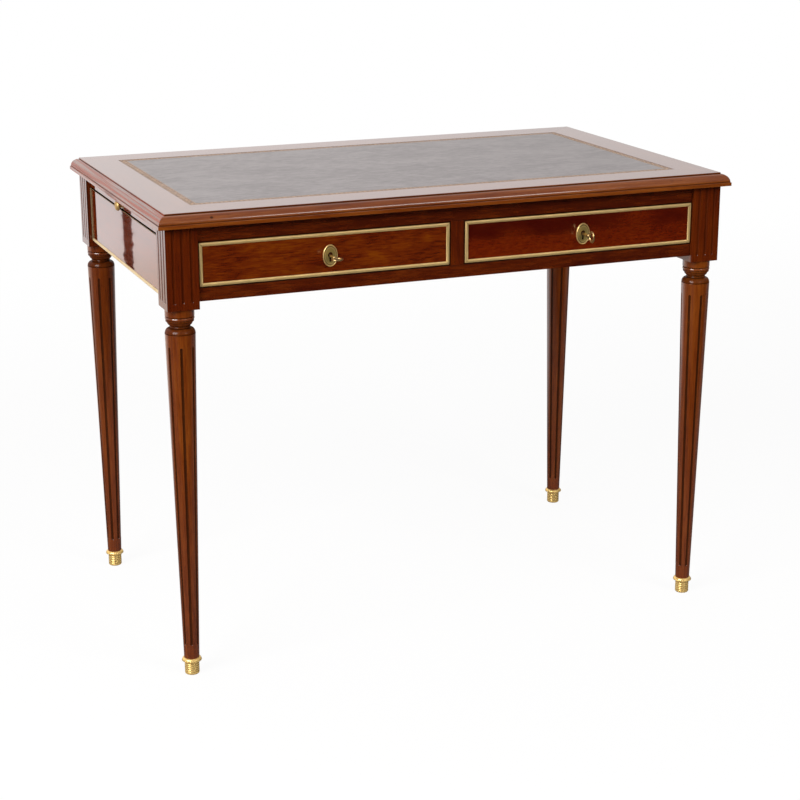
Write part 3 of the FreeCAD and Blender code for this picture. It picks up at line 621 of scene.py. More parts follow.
class Shader:
    """The nodes of one material, or of the world."""

    def __init__(self, owner: bpy.types.Material | bpy.types.World) -> None:
        """Starts with no nodes.

        Args:
            owner: the material or the world that the nodes belong to.
        """
        self.owner = owner
        owner.use_nodes = True
        self.tree = owner.node_tree
        self.tree.nodes.clear()

    def add(
        self,
        kind: str,
        settings: dict[str, object] | None = None,
        inputs: dict[str | int, object] | None = None,
        output: str | int = 0,
    ) -> Value:
        """Adds a node.

        Args:
            kind: type of the node.
            settings: its settings, where stops are the stops of a ramp.
            inputs: values or links of its sockets, by name or number.
            output: the output to give back.

        Returns:
            That output.
        """
        node = self.tree.nodes.new(kind)
        for key, setting in (settings or {}).items():
            if key == "stops":
                self._set_stops(node.color_ramp, setting)
            else:
                setattr(node, key, setting)
        for key, given in (inputs or {}).items():
            if isinstance(given, Value):
                self.tree.links.new(given.socket, node.inputs[key])
            else:
                node.inputs[key].default_value = given
        return Value(self, node.outputs[output] if node.outputs else None)

    @staticmethod
    def _set_stops(ramp: bpy.types.ColorRamp, stops: Sequence[tuple[float, Colour]]) -> None:
        """Gives a ramp its stops."""
        while len(ramp.elements) < len(stops):
            ramp.elements.new(1)
        for element, (place, colour) in zip(ramp.elements, stops):
            element.position = place
            element.color = (*colour, 1)

    def math(self, operation: str, *terms: Value | float) -> Value:
        """Adds a Math node."""
        return self.add("ShaderNodeMath", {"operation": operation}, dict(enumerate(terms)))

    def dot(self, one: Value, other: Value) -> Value:
        """Dot product of two directions."""
        return self.add("ShaderNodeVectorMath", {"operation": "DOT_PRODUCT"}, {0: one, 1: other}, 1)

    def mix(self, share: Value | float, one: Value | Colour, other: Value | Colour) -> Value:
        """Mixes two colours.

        Args:
            share: share of the second.
            one: first colour.
            other: second colour.

        Returns:
            The mixed colour.
        """
        first, second = (given if isinstance(given, Value) else (*given, 1) for given in (one, other))
        return self.add("ShaderNodeMix", {"data_type": "RGBA"}, {0: share, 6: first, 7: second}, 2)

    def ramp(self, share: Value, stops: Sequence[tuple[float, Colour]]) -> Value:
        """Colour that runs through the given stops."""
        return self.add("ShaderNodeValToRGB", {"stops": stops}, {0: share})

    def place(self) -> Value:
        """The place on the piece, in metres."""
        return self.add("ShaderNodeTexCoord", output="Object")

    def axes(self, place: Value | None = None) -> tuple[Value, Value, Value]:
        """A place taken apart along X, Y and Z, which is that on the piece if none is given."""
        split = self.add("ShaderNodeSeparateXYZ", inputs={0: self.place() if place is None else place})
        x, y, z = (Value(self, socket) for socket in split.socket.node.outputs)
        return x, y, z

    def mapped(self, place: Value, scales: Sequence[float], shift: Sequence[float] = (0, 0, 0)) -> Value:
        """A place scaled along each axis and shifted."""
        return self.add("ShaderNodeMapping", inputs={"Vector": place, "Scale": scales, "Location": shift})

    def noise(self, place: Value, size: float, detail: float, rough: float, bent: float = 0.0) -> Value:
        """Random pattern from 0 to 1.

        Args:
            place: where it is read.
            size: size of its largest features.
            detail: number of finer layers.
            rough: strength of the finer layers.
            bent: how far it is distorted.

        Returns:
            The pattern.
        """
        inputs = {
            "Vector": place, "Scale": 1 / size, "Detail": detail, "Roughness": rough, "Distortion": bent}
        return self.add("ShaderNodeTexNoise", inputs=inputs)

    def cells(self, place: Value, size: float) -> Value:
        """Distance pattern of random cells."""
        return self.add("ShaderNodeTexVoronoi", inputs={"Vector": place, "Scale": 1 / size})

    def length(self, one: Value, other: Value) -> Value:
        """Length of a line with the given two sides, square to one another."""
        return self.math("SQRT", one * one + other * other)

    def bump(self, height: Value, depth: float, normal: Value | None = None) -> Value:
        """Turns a height from 0 to 1 into a normal.

        Args:
            height: the height.
            depth: depth of the relief.
            normal: normal that it is added to.

        Returns:
            The normal.
        """
        inputs = {"Height": height, "Strength": 1.0, "Distance": depth}
        if normal is not None:
            inputs["Normal"] = normal
        return self.add("ShaderNodeBump", inputs=inputs)

    def worn_edge(self, radius: float) -> tuple[Value, Value]:
        """Rounded normal of the edges, and a mask of where they are.

        Args:
            radius: radius of the rounding.

        Returns:
            The normal, and the mask from 0 to 1.
        """
        rounded = self.add("ShaderNodeBevel", {"samples": 4}, {"Radius": radius})
        flat = self.add("ShaderNodeNewGeometry", output="True Normal")
        turned = 1 - self.dot(rounded, flat)
        return rounded, turned.rise(0.02, 0.25)

    def blended(self, share: Value, one: Value, other: Value) -> Value:
        """Mixes two surfaces, by the share of the second."""
        return self.add("ShaderNodeMixShader", inputs={0: share, 1: one, 2: other})

    def end(self, surface: Value) -> bpy.types.Material:
        """Ends the material with a surface."""
        self.add("ShaderNodeOutputMaterial", inputs={"Surface": surface})
        return self.owner

    def finish(self, matt: Value | None = None, **inputs: object) -> bpy.types.Material:
        """Ends the material with a plain surface that has the given inputs.

        Args:
            matt: mask of where it has no gloss at all.
            inputs: inputs of the surface, with an underscore for each space.

        Returns:
            The material.
        """
        given = {key.replace("_", " "): value for key, value in inputs.items() if value is not None}
        surface = self.add("ShaderNodeBsdfPrincipled", inputs=given)
        if matt is not None:
            flat = {"Base Color": given["Base Color"], "Roughness": 1.0, "Specular IOR Level": 0.0}
            dull = self.add("ShaderNodeBsdfPrincipled", inputs=flat)
            surface = self.blended(matt, surface, dull)
        return self.end(surface)


# Finishes

@dataclass(frozen=True)
class Grime:
    """Masks, from 0 to 1, of painted shade in hollows, in gaps and along edges beside other parts, and of a
    plug and a knock in the border.

    A span holds the distances from an edge or a surface between which a mask rises or falls. Those of the
    plug and of the slide's line are values of a first mask, which they make sharper.
    """

    shader: Shader
    flute: Span = (0.3 * MM, 1.1 * MM)
    groove: float = 1.3 * MM
    ring_share: float = 0.5
    block_flute: Span = (0.3 * MM, 1.2 * MM)
    block_inside: Span = (2.0 * MM, 2.6 * MM)
    block_front_share: float = 0.35
    step: Span = (0.5 * MM, 1.9 * MM)
    quirk: Span = (0.4 * MM, 1.2 * MM)
    quirk_share: float = 0.8
    plug: Span = (0.3, 0.6)
    knock_share: float = 0.7
    rail_edge: Span = (0.3 * MM, 1.1 * MM)
    rail_end: Span = (0.6 * MM, 1.2 * MM)
    front_edge: Span = (1.2 * MM, 1.8 * MM)
    front_face: Span = (0.2 * MM, 0.8 * MM)
    keyhole: Span = (6.5 * MM, 7.0 * MM)
    below_keyhole: Span = (11.0 * MM, 12.0 * MM)
    below_keyhole_half: float = 3.5 * MM
    divider_edge: Span = (0.4 * MM, 1.1 * MM)
    slide_line_reach: float = 2.9 * MM
    slide_line_rise: Span = (0.15, 0.20)

    def mask(self, recess: Recess) -> Value:
        """The mask of one kind of recess."""
        masks = {
            Recess.LEG_TAPER: self.leg_taper,
            Recess.LEG_BLOCK: self.leg_block,
            Recess.BORDER: self.border,
            Recess.RAIL: self.rail,
            Recess.DRAWER_FRONT: self.drawer_front,
            Recess.DIVIDER: self.divider,
            Recess.SLIDE_LINE: self.slide_line,
        }
        return masks[recess]()

    def leg_taper(self) -> Value:
        """Painted shade inside the flutes, in the grooves between the turned rings, and on the rings below
        the bead.
        """
        x, y, z = self.shader.axes()
        radius = self.shader.length(abs(x) - LEG.axis_x, abs(y) - LEG.axis_y)
        height = (z - LEG.sabot_height) / (LEG.taper_top - LEG.sabot_height)
        full = LEG.taper_foot_radius + height * (LEG.taper_top_radius - LEG.taper_foot_radius)
        below_shoulder = 1 - z.rise(LEG.taper_top - MM, LEG.taper_top)
        mask = (full - radius).rise(*self.flute) * below_shoulder
        half = LEG.groove_height / 2
        grooves = (
            LEG.collar_end - half, LEG.bead_end, LEG.band_end,
            LEG.neck_start, LEG.neck_end, LEG.shoulder_end - half)
        for groove in grooves:
            mask = mask.most(z.near(groove, self.groove))
        rings = z.rise(LEG.taper_top, LEG.shoulder_end) * (1 - z.rise(LEG.bead_end, LEG.bead_end + MM))
        return mask.most(rings * self.ring_share)

    def leg_block(self) -> Value:
        """Painted shade inside the flutes, and most of all in those of the faces towards the sides."""
        x, y, _ = self.shader.axes()
        front, side = LEG.outer_y - abs(y), LEG.outer_x - abs(x)
        depth = side.least(front)
        flutes = depth.rise(*self.block_flute) * (1 - depth.rise(*self.block_inside))
        on_side = (front - side).rise(0, MM)
        return flutes * (self.block_front_share + (1 - self.block_front_share) * on_side)

    def border(self) -> Value:
        """Painted shadow along the step above the ovolo and in the quirk below it, and a plug and a knock in
        front, which are marks in the wood.
        """
        x, y, z = self.shader.axes()
        edge = (BORDER.length / 2 - abs(x)).least(BORDER.depth / 2 - abs(y))
        height = z - BORDER.underside
        step = self.shader.length(edge - BORDER.reach, height - (BORDER.thickness - BORDER.step))
        quirk = self.shader.length(edge - BORDER.quirk, height - (BORDER.fillet + BORDER.quirk_height / 2))
        lines = (1 - step.rise(*self.step)).most((1 - quirk.rise(*self.quirk)) * self.quirk_share)
        inner = -BORDER.depth / 2 + BORDER.reach
        plug, knock = (
            x.near(place[0], reach[0]) * z.near(place[1], reach[1])
            for place, reach in ((BORDER.plug, BORDER.plug_reach), (BORDER.knock, BORDER.knock_reach)))
        marks = plug.rise(*self.plug).most(knock * self.knock_share)
        return lines.most(marks * (1 - y.rise(inner, inner + CLOSE)))

    def rail(self) -> Value:
        """Painted shade along the edges at the drawers, and painted shadow of the blocks beside them."""
        x, _, z = self.shader.axes()
        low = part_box("front_lower_rail")[1].z
        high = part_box("front_upper_rail")[0].z
        near, far = self.rail_edge
        edge = z.rise(low - far, low - near) * (1 - z.rise(high + near, high + far))
        near, far = self.rail_end
        return edge.most(abs(x).rise(LEG.inner_x - far, LEG.inner_x - near))

    def drawer_front(self) -> Value:
        """Painted shade along all four edges of the front face, outside the brass strips, and behind the
        keyhole.
        """
        x, y, z = self.shader.axes()
        low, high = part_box("right_drawer_front")
        away = abs(x)
        inset = (away - low.x).least(high.x - away).least(z - low.z).least(high.z - z)
        mask = 1 - inset.rise(*self.front_edge)
        near, far = self.below_keyhole
        for side in Side:
            plate_low, plate_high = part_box(f"{side.word}_escutcheon")
            beside, above = x - (plate_low.x + plate_high.x) / 2, z - (plate_low.z + plate_high.z) / 2
            mask = mask.most(1 - self.shader.length(beside, above).rise(*self.keyhole))
            slot = beside.near(0, self.below_keyhole_half).rise(0, 0.1)
            mask = mask.most(slot * (1 - above.rise(0, MM)) * above.rise(-far, -near))
        near, far = self.front_face
        return mask * (1 - y.rise(low.y + near, low.y + far))

    def divider(self) -> Value:
        """Painted shade along both upright edges."""
        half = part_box("drawer_divider")[1].x
        near, far = self.divider_edge
        return abs(self.shader.axes()[0]).rise(half - far, half - near)

    def slide_line(self) -> Value:
        """Painted shadow along the line between a writing slide and the side below it."""
        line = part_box("left_side_apron")[1].z
        return self.shader.axes()[2].near(line, self.slide_line_reach).rise(*self.slide_line_rise)


@dataclass(frozen=True)
class Wood:
    """Wood with fibres, figure and pores under a polish or wax."""

    name: str
    grain: Grain
    dark: Colour
    middle: Colour
    light: Colour
    seed: float = 0.0
    figure: float = 38.0 * MM
    figure_draw: float = 0.14
    fleck: float = 3.4 * MM
    fleck_draw: float = 0.06
    spread: float = 0.14
    ribbon: float = 0.0
    ribbon_size: float = 7.0 * MM
    coat: float = 1.0
    coat_roughness: float = 0.04
    roughness: float = 0.10
    specular: float = 0.5
    edge: float = 0.5 * MM
    worn: float = 0.12
    # Painted shade: recess picks where the colour is darkened where shade falls, and the fields below give
    # its colour, strength and dulling; that colour also tints the pores.
    recess: Recess = Recess.NONE
    recess_colour: Colour = (0.020, 0.006, 0.002)
    painted_shade_strength: float = 0.85
    recess_dull: float = 0.6
    patchy: float = 0.0
    patch_size: float = 4.0 * MM
    patch_colour: Colour = (0.25, 0.048, 0.020)
    pore_depth: float = 0.0
    ripple_size: float = 30.0 * MM
    ripple_draw: float = 0.14
    ripple: float = 0.06 * MM
    fibre: float = 0.9 * MM
    fibre_draw: float = 0.012
    pore: float = 0.5 * MM
    pore_draw: float = 0.05
    pore_span: Span = (0.61, 0.72)
    middle_at: float = 0.51
    grime: float = 9.0 * MM

    def make(self) -> bpy.types.Material:
        """Builds the material."""
        shader = Shader(bpy.data.materials.new(self.name))
        shift = (self.seed, self.seed * 0.7, self.seed * 1.3)
        place = shader.mapped(shader.place(), (1, 1, 1), shift)
        streak = shader.noise(self._drawn(shader, place, self.fleck_draw), self.fleck, 3.0, 0.6, 0.2)
        pores_at = self._drawn(shader, place, self.pore_draw)
        pores = shader.noise(pores_at, self.pore, 1.0, 0.5).rise(*self.pore_span)
        colour = self._figured(shader, place, streak)
        colour = shader.mix(pores * 0.5, colour, self.recess_colour)

        normal, edges = shader.worn_edge(self.edge)
        colour = shader.mix(edges * self.worn, colour, self.light)
        matt = None
        # Painted shade: the recess's mask darkens the colour, broken up a little by noise, and dulls the
        # gloss there.
        if self.recess is not Recess.NONE:
            hollow = Grime(shader).mask(self.recess)
            grime = shader.noise(place, self.grime, 2.0, 0.5).rise(0.15, 0.55) * 0.2 + 0.8
            colour = shader.mix(hollow * grime * self.painted_shade_strength, colour, self.recess_colour)
            matt = (hollow * 2.5).least(1) * self.recess_dull
        ripple = shader.noise(self._drawn(shader, place, self.ripple_draw), self.ripple_size, 1.0, 0.4)
        normal = shader.bump(ripple, self.ripple, normal)
        if self.pore_depth:
            normal = shader.bump(pores, -self.pore_depth, normal)
        coat = self.coat
        if self.patchy:
            patches = self._patches(shader, place)
            coat = coat * (1 - patches)
            colour = shader.mix(patches, colour, self.patch_colour)
        return shader.finish(
            matt, Base_Color=colour, Roughness=self.roughness + streak * 0.06 + pores * 0.1, Normal=normal,
            Specular_IOR_Level=self.specular, Coat_Weight=coat, Coat_Roughness=self.coat_roughness)

    def _drawn(self, shader: Shader, place: Value, share: float) -> Value:
        """A place drawn out along the fibres."""
        return shader.mapped(place, self.grain.squeezed(share))

    def _figured(self, shader: Shader, place: Value, streak: Value) -> Value:
        """Colour of the figure, the ribbons and the fibres.

        Args:
            shader: the shader.
            place: where it is read.
            streak: pattern of the flecks.

        Returns:
            The colour.
        """
        along = self._drawn(shader, place, self.figure_draw)
        fibres = self._drawn(shader, place, self.fibre_draw)
        figure = shader.noise(along, self.figure, 3.0, 0.55, 0.6)
        low, high = self.middle_at - self.spread, self.middle_at + self.spread
        stops = [(low, self.dark), (self.middle_at, self.middle), (high, self.light)]
        colour = shader.ramp(figure * 0.5 + streak * 0.5, stops)
        if self.ribbon:
            bands = shader.noise(fibres, self.ribbon_size, 1.0, 0.4).rise(0.42, 0.58)
            broken = shader.noise(along, self.figure * 0.6, 2.0, 0.5).rise(0.3, 0.6)
            colour = shader.mix(bands * broken * self.ribbon, colour, self.dark)
        fine = shader.noise(fibres, self.fibre, 2.0, 0.6).rise(0.45, 0.75)
        return shader.mix(fine * 0.35, colour, self.dark)

    def _patches(self, shader: Shader, place: Value) -> Value:
        """Mask of patches along the fibres of a moulding, where the polish has gone."""
        top = BORDER.underside + BORDER.thickness
        moulding = 1 - shader.axes()[2].rise(top - BORDER.step, top)
        fibres = self._drawn(shader, place, self.fibre_draw)
        return shader.noise(fibres, self.patch_size, 2.0, 0.6).rise(0.44, 0.56) * moulding * self.patchy


@dataclass(frozen=True)
class Brass:
    """Old polished brass, browner where hands and cloths don't reach, with painted shade on the upright ends
    of the side strips.
    """

    name: str
    colour: Colour = (0.98, 0.69, 0.29)
    tarnish: Colour = (0.62, 0.41, 0.16)
    tarnished: float = 0.30
    metal: float = 0.72
    roughness: float = 0.36
    edge: float = 0.25 * MM
    plate: str = ""
    cloud: float = 22.0 * MM
    hair: float = 0.35 * MM
    hair_depth: float = 0.003 * MM
    groove: float = 2.4 * MM
    ring: float = 4.2 * MM
    line: float = 0.9 * MM
    field: Colour = (0.40, 0.29, 0.09)
    field_edge: float = 0.6 * MM
    grime: Colour = (0.07, 0.035, 0.012)
    reeds: bool = False
    reed_line: Span = (0.1 * MM, 0.9 * MM)
    mitre: str = ""
    mitre_line: float = 0.8 * MM
    mitre_end: Span = (6.3 * MM, 6.6 * MM)
    painted_shade_from: float = 0.0
    painted_shade_run: float = 2.0 * MM

    def make(self) -> bpy.types.Material:
        """Builds the material."""
        shader = Shader(bpy.data.materials.new(self.name))
        place = shader.place()
        cloud = shader.noise(place, self.cloud, 3.0, 0.5, 0.3)
        hair = shader.noise(shader.mapped(place, (0.06, 1, 1)), self.hair, 1.0, 0.5)
        normal, edges = shader.worn_edge(self.edge)
        dull = cloud.rise(0.35, 0.75) * (1 - edges * 0.8)
        colour = shader.mix(dull * self.tarnished, self.colour, self.tarnish)
        rough = self.roughness + dull * 0.10 + hair * 0.05
        if self.plate:
            inset = self._inset(shader)
            field = inset.rise(self.groove - self.field_edge, self.groove)
            colour = shader.mix(field * (0.9 - inset.near(self.ring, self.line) * 0.6), colour, self.field)
            line = inset.near(self.groove, self.line)
            colour = shader.mix(line * 0.85, colour, self.grime)
            rough = rough + line * 0.25
        if self.reeds:
            colour = shader.mix(self._reed_lines(shader) * 0.75, colour, self.grime)
        # Painted shade: the upright end of a side strip is darkened, and made rougher.
        if self.painted_shade_from:
            upright = shader.axes()[1].rise(self.painted_shade_from, self.painted_shade_from + self.painted_shade_run)
            colour = shader.mix(upright * 0.8, colour, self.grime)
            rough = rough + upright * 0.2
        if self.mitre:
            colour = shader.mix(self._mitres(shader) * 0.8, colour, self.grime)
        normal = shader.bump(hair, self.hair_depth, normal)
        return shader.finish(Base_Color=colour, Metallic=self.metal, Roughness=rough, Normal=normal)

    def _inset(self, shader: Shader) -> Value:
        """Distance from the edge of an oval plate."""
        low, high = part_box(self.plate)
        middle, half = (low + high) / 2, (high - low) / 2
        x, _, z = shader.axes()
        share = shader.length((x - middle.x) / half.x, (z - middle.z) / half.z)
        return (1 - share) * ((half.x + half.z) / 2)

    def _mitres(self, shader: Shader) -> Value:
        """Mask of the joints at the corners of a drawer's strips."""
        low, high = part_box(self.mitre)
        x, _, z = shader.axes()
        x = abs(x)
        from_end = (x - low.x).least(high.x - x)
        from_side = (z - low.z).least(high.z - z)
        return (from_end - from_side).near(0, self.mitre_line) * (1 - from_end.rise(*self.mitre_end))

    def _reed_lines(self, shader: Shader) -> Value:
        """Mask of the lines between the rings of a foot cup."""
        z = shader.axes()[2]
        step = (SABOT.waist_top - SABOT.base_height) / SABOT.reeds
        line = abs((z - SABOT.base_height + step / 2) % step - step / 2)
        above = z.rise(SABOT.base_height - MM, SABOT.base_height)
        below = 1 - z.rise(SABOT.waist_top, SABOT.waist_top + MM)
        return (1 - line.rise(*self.reed_line)) * (above * below)


@dataclass(frozen=True)
class Steel:
    """Worn steel of a bolt."""

    name: str
    colour: Colour = (0.46, 0.44, 0.41)
    rust: Colour = (0.14, 0.08, 0.05)
    cloud: float = 7.0 * MM
    hair: float = 0.4 * MM
    hair_depth: float = 0.006 * MM

    def make(self) -> bpy.types.Material:
        """Builds the material."""
        shader = Shader(bpy.data.materials.new(self.name))
        place = shader.place()
        cloud = shader.noise(place, self.cloud, 4.0, 0.65)
        brushed = shader.noise(shader.mapped(place, (0.04, 1, 1)), self.hair, 1.0, 0.5)
        spots = cloud.rise(0.58, 0.72)
        colour = shader.mix(spots * 0.5, self.colour, self.rust)
        normal = shader.bump(brushed, self.hair_depth)
        rough = 0.34 + brushed * 0.1 + spots * 0.25
        return shader.finish(Base_Color=colour, Metallic=1 - spots * 0.5, Roughness=rough, Normal=normal)


@dataclass(frozen=True)
class Leather:
    """Waxed leather of a desk top, with a gilt tooled band along its edge."""

    name: str
    dark: Colour = (0.055, 0.048, 0.050)
    pale: Colour = (0.120, 0.103, 0.104)
    gilt: Colour = (0.72, 0.46, 0.25)
    ground: Colour = (0.14, 0.065, 0.026)
    rim: Colour = (0.05, 0.022, 0.010)
    band: float = 13.0 * MM
    line: float = 0.9 * MM
    line_inset: float = 2.0 * MM
    far_line_inset: float = 0.8 * MM
    motif: float = 16.0 * MM
    motif_shift: float = 0.6 * MM
    ring: float = 3.2 * MM
    ring_line: float = 1.0 * MM
    dot: float = 1.2 * MM
    leaf: float = 3.2 * MM
    soft: float = 0.35 * MM
    tool_depth: float = 0.06 * MM
    wear: float = 4.0 * MM
    cloud: float = 70.0 * MM
    streak: float = 8.0 * MM
    speck: float = 7.0 * MM
    pebble: float = 1.1 * MM
    crease: float = 4.5 * MM
    grain_depth: float = 0.035 * MM
    band_start: Span = (0.3 * MM, 0.8 * MM)
    band_soft: Span = (0.4 * MM, 0.2 * MM)
    rim_end: Span = (0.5 * MM, 1.0 * MM)
    roughness: float = 0.28

    def make(self) -> bpy.types.Material:
        """Builds the material."""
        shader = Shader(bpy.data.materials.new(self.name))
        place = shader.place()
        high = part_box("writing_leather")[1]
        x, y, _ = shader.axes()
        from_end = high.x - abs(x)
        from_side = high.y - abs(y)
        inset = from_end.least(from_side)
        on_end = (from_side - from_end).rise(-CLOSE, CLOSE)
        run = y * on_end + x * (1 - on_end)
        tooling = self._tooling(shader, inset, run)
        worn = shader.noise(place, self.wear, 4.0, 0.7).rise(0.36, 0.52)
        gilt = tooling * worn
        before, after = self.band_soft
        band = inset.rise(*self.band_start) * (1 - inset.rise(self.band - before, self.band + after))

        cloud = shader.noise(shader.mapped(place, (0.6, 1, 1)), self.cloud, 5.0, 0.62, 0.5)
        streak = shader.noise(shader.mapped(place, (0.45, 1, 1)), self.streak, 4.0, 0.65, 0.3)
        pebble = shader.cells(place, self.pebble)
        crease = shader.noise(place, self.crease, 4.0, 0.6, 0.8)
        specks = shader.noise(shader.mapped(place, (0.4, 1, 1)), self.speck, 2.0, 0.6).rise(0.66, 0.73)
        tone = (cloud * 0.5 + streak * 0.5).rise(0.30, 0.70)
        colour = shader.mix(tone, self.dark, self.pale)
        colour = shader.mix(specks * 0.7, colour, self.dark)
        colour = shader.mix(band * (worn * 0.2 + 0.75), colour, self.ground)
        colour = shader.mix(gilt, colour, self.gilt)
        colour = shader.mix(1 - inset.rise(*self.rim_end), colour, self.rim)
        rough = self.roughness + (1 - tone) * 0.14 + specks * 0.1
        height = (1 - pebble) * 0.5 + crease * 0.5
        normal = shader.bump(height, self.grain_depth)
        normal = shader.bump(tooling, -self.tool_depth, normal)
        return shader.finish(
            Base_Color=colour, Metallic=gilt * 0.6, Roughness=rough, Normal=normal,
            Specular_IOR_Level=0.5, Coat_Weight=(1 - band) * 0.75, Coat_Roughness=0.25)

    def _tooling(self, shader: Shader, inset: Value, run: Value) -> Value:
        """Mask of the gilt: two lines, and between them rings with a dot, joined by small leaves.

        Args:
            shader: the shader.
            inset: distance from the leather's edge.
            run: distance along that edge.

        Returns:
            The mask.
        """
        first = inset.near(self.line_inset, self.line)
        second = inset.near(self.band - self.far_line_inset, self.line)
        across = inset - (self.band / 2 + self.motif_shift)
        beside = (run + self.motif / 2) % self.motif - self.motif / 2
        distance = shader.length(across, beside)
        ring = distance.near(self.ring, self.ring_line)
        dot = 1 - distance.rise(self.dot, self.dot + self.soft)
        between = run % self.motif - self.motif / 2
        leaf = abs(across) * 1.3 + abs(between) * 0.9
        leaf = 1 - leaf.rise(self.leaf, self.leaf + self.soft)
        return first.most(second).most(ring).most(dot).most(leaf)


@dataclass(frozen=True)
class Tones:
    """Dark, middle and light colour of one kind of board."""

    dark: Colour
    middle: Colour
    light: Colour

    def wood(self, name: str, grain: Grain, seed: float, **more: object) -> bpy.types.Material:
        """Makes wood of these colours.

        Args:
            name: name of the material.
            grain: the way that the fibres run.
            seed: what sets its figure off from that of other boards.
            more: other fields of the wood.

        Returns:
            The material.
        """
        return Wood(name, grain, self.dark, self.middle, self.light, seed, **more).make()


class Finishes:
    """Every material of the desk, made once."""

    rail_tones = Tones((0.038, 0.0035, 0.001), (0.072, 0.009, 0.001), (0.112, 0.019, 0.002))
    border_tones = Tones((0.105, 0.018, 0.002), (0.165, 0.038, 0.004), (0.230, 0.062, 0.008))
    leg_tones = Tones((0.075, 0.011, 0.001), (0.138, 0.027, 0.003), (0.205, 0.050, 0.005))
    block_tones = Tones((0.048, 0.005, 0.001), (0.086, 0.011, 0.001), (0.125, 0.020, 0.001))
    side_tones = Tones((0.090, 0.010, 0.002), (0.145, 0.020, 0.003), (0.200, 0.036, 0.005))
    left_tones = Tones((0.062, 0.005, 0.0005), (0.118, 0.016, 0.001), (0.172, 0.035, 0.001))
    right_tones = Tones((0.030, 0.0006, 0.0003), (0.110, 0.009, 0.0005), (0.180, 0.026, 0.001))
    # Near-black tones for the packing strips, standing for the shade in the slides' slots.
    stained_tones = Tones((0.010, 0.004, 0.002), (0.020, 0.008, 0.004), (0.035, 0.014, 0.007))
    lining_tones = Tones((0.26, 0.15, 0.07), (0.40, 0.26, 0.13), (0.52, 0.36, 0.20))
    carcase_tones = Tones((0.20, 0.11, 0.05), (0.32, 0.19, 0.09), (0.42, 0.27, 0.14))
    side_upright = 8.0 * MM

    def __init__(self) -> None:
        """Makes the materials."""
        # The sides and slides carry a painted shadow, near black and matt, along the line where a slide meets
        # the side.
        glossy = dict(
            specular=0.7, roughness=0.0, coat_roughness=0.01, recess=Recess.SLIDE_LINE,
            recess_colour=(0.006, 0.002, 0.001), painted_shade_strength=1.2, recess_dull=1.0)
        # Painted shade along the drawer fronts' edges and behind the keyholes.
        veneer = dict(fleck=2.4 * MM, coat_roughness=0.12, recess=Recess.DRAWER_FRONT)
        # Painted shade along the rails' edges at the drawers, and painted shadow beside the blocks.
        self.rail = self.rail_tones.wood(
            "mahogany_rail", Grain.ALONG_X, 1.3, figure=45 * MM, figure_draw=0.35, fleck_draw=0.12,
            recess=Recess.RAIL)
        self.back = self.rail_tones.wood("mahogany_back", Grain.ALONG_X, 4.1)
        self.side = self.side_tones.wood("mahogany_side", Grain.ALONG_Y, 3.1, ripple=0.15 * MM, **glossy)
        self.slide = self.side_tones.wood("mahogany_slide", Grain.ALONG_Y, 6.1, **glossy)
        # Painted shadow along the moulding's step and quirk, with a plug and a knock as marks in the wood.
        self.border = {
            Grain.ALONG_X: self.border_tones.wood(
                "mahogany_long_border", Grain.ALONG_X, 4.7, recess=Recess.BORDER),
            Grain.ALONG_Y: self.border_tones.wood(
                "mahogany_end_border", Grain.ALONG_Y, 5.9, recess=Recess.BORDER, ripple_size=5 * MM,
                ripple_draw=0.02, ripple=0.14 * MM, patchy=0.95),
        }
        # Painted shade in the block's flutes.
        self.block = self.block_tones.wood(
            "mahogany_leg_block", Grain.ALONG_Z, 7.7, spread=0.2, coat=0.7, recess=Recess.LEG_BLOCK,
            recess_dull=1.0)
        # Painted shade in the leg's flutes, grooves and rings.
        self.column = self.leg_tones.wood(
            "mahogany_leg", Grain.ALONG_Z, 8.3, spread=0.19, recess=Recess.LEG_TAPER, recess_dull=0.8)
        # Painted shade along the divider's edges.
        self.divider = self.block_tones.wood("mahogany_divider", Grain.ALONG_Z, 2.9, recess=Recess.DIVIDER)
        self.front = {
            Side.LEFT: self.left_tones.wood(
                "left_drawer_veneer", Grain.ALONG_X, 9.2, figure=26 * MM, figure_draw=0.3, fleck_draw=0.12,
                spread=0.13, **veneer),
            Side.RIGHT: self.right_tones.wood(
                "right_drawer_veneer", Grain.ALONG_X, 11.4, figure=110 * MM, figure_draw=0.5, fleck_draw=0.3,
                spread=0.24, ribbon=0.8, ribbon_size=42 * MM, **veneer),
        }
        # Painted shade: the packing strips in the slides' slots are near black and matt.
        self.stained = self.stained_tones.wood("stained_guides", Grain.ALONG_X, 15.2, coat=0.0, roughness=0.6)
        self.lining = self.lining_tones.wood(
            "drawer_lining", Grain.ALONG_Y, 12.8, coat=0.0, roughness=0.52, pore_depth=0.03 * MM,
            recess_colour=(0.16, 0.09, 0.04))
        self.carcase = self.carcase_tones.wood(
            "carcase_wood", Grain.ALONG_X, 13.6, coat=0.0, roughness=0.62, pore_depth=0.03 * MM,
            recess_colour=(0.12, 0.06, 0.03))
        self.leather = Leather("desk_leather").make()
        self.brass = Brass("polished_brass", mitre="right_drawer_brass_frame").make()
        self.sabot = Brass(
            "sabot_brass", (1.0, 0.69, 0.24), tarnished=0.12, roughness=0.20, metal=0.62, reeds=True).make()
        self.knob = Brass("knob_brass", (0.54, 0.35, 0.13), tarnished=0.6, roughness=0.40).make()
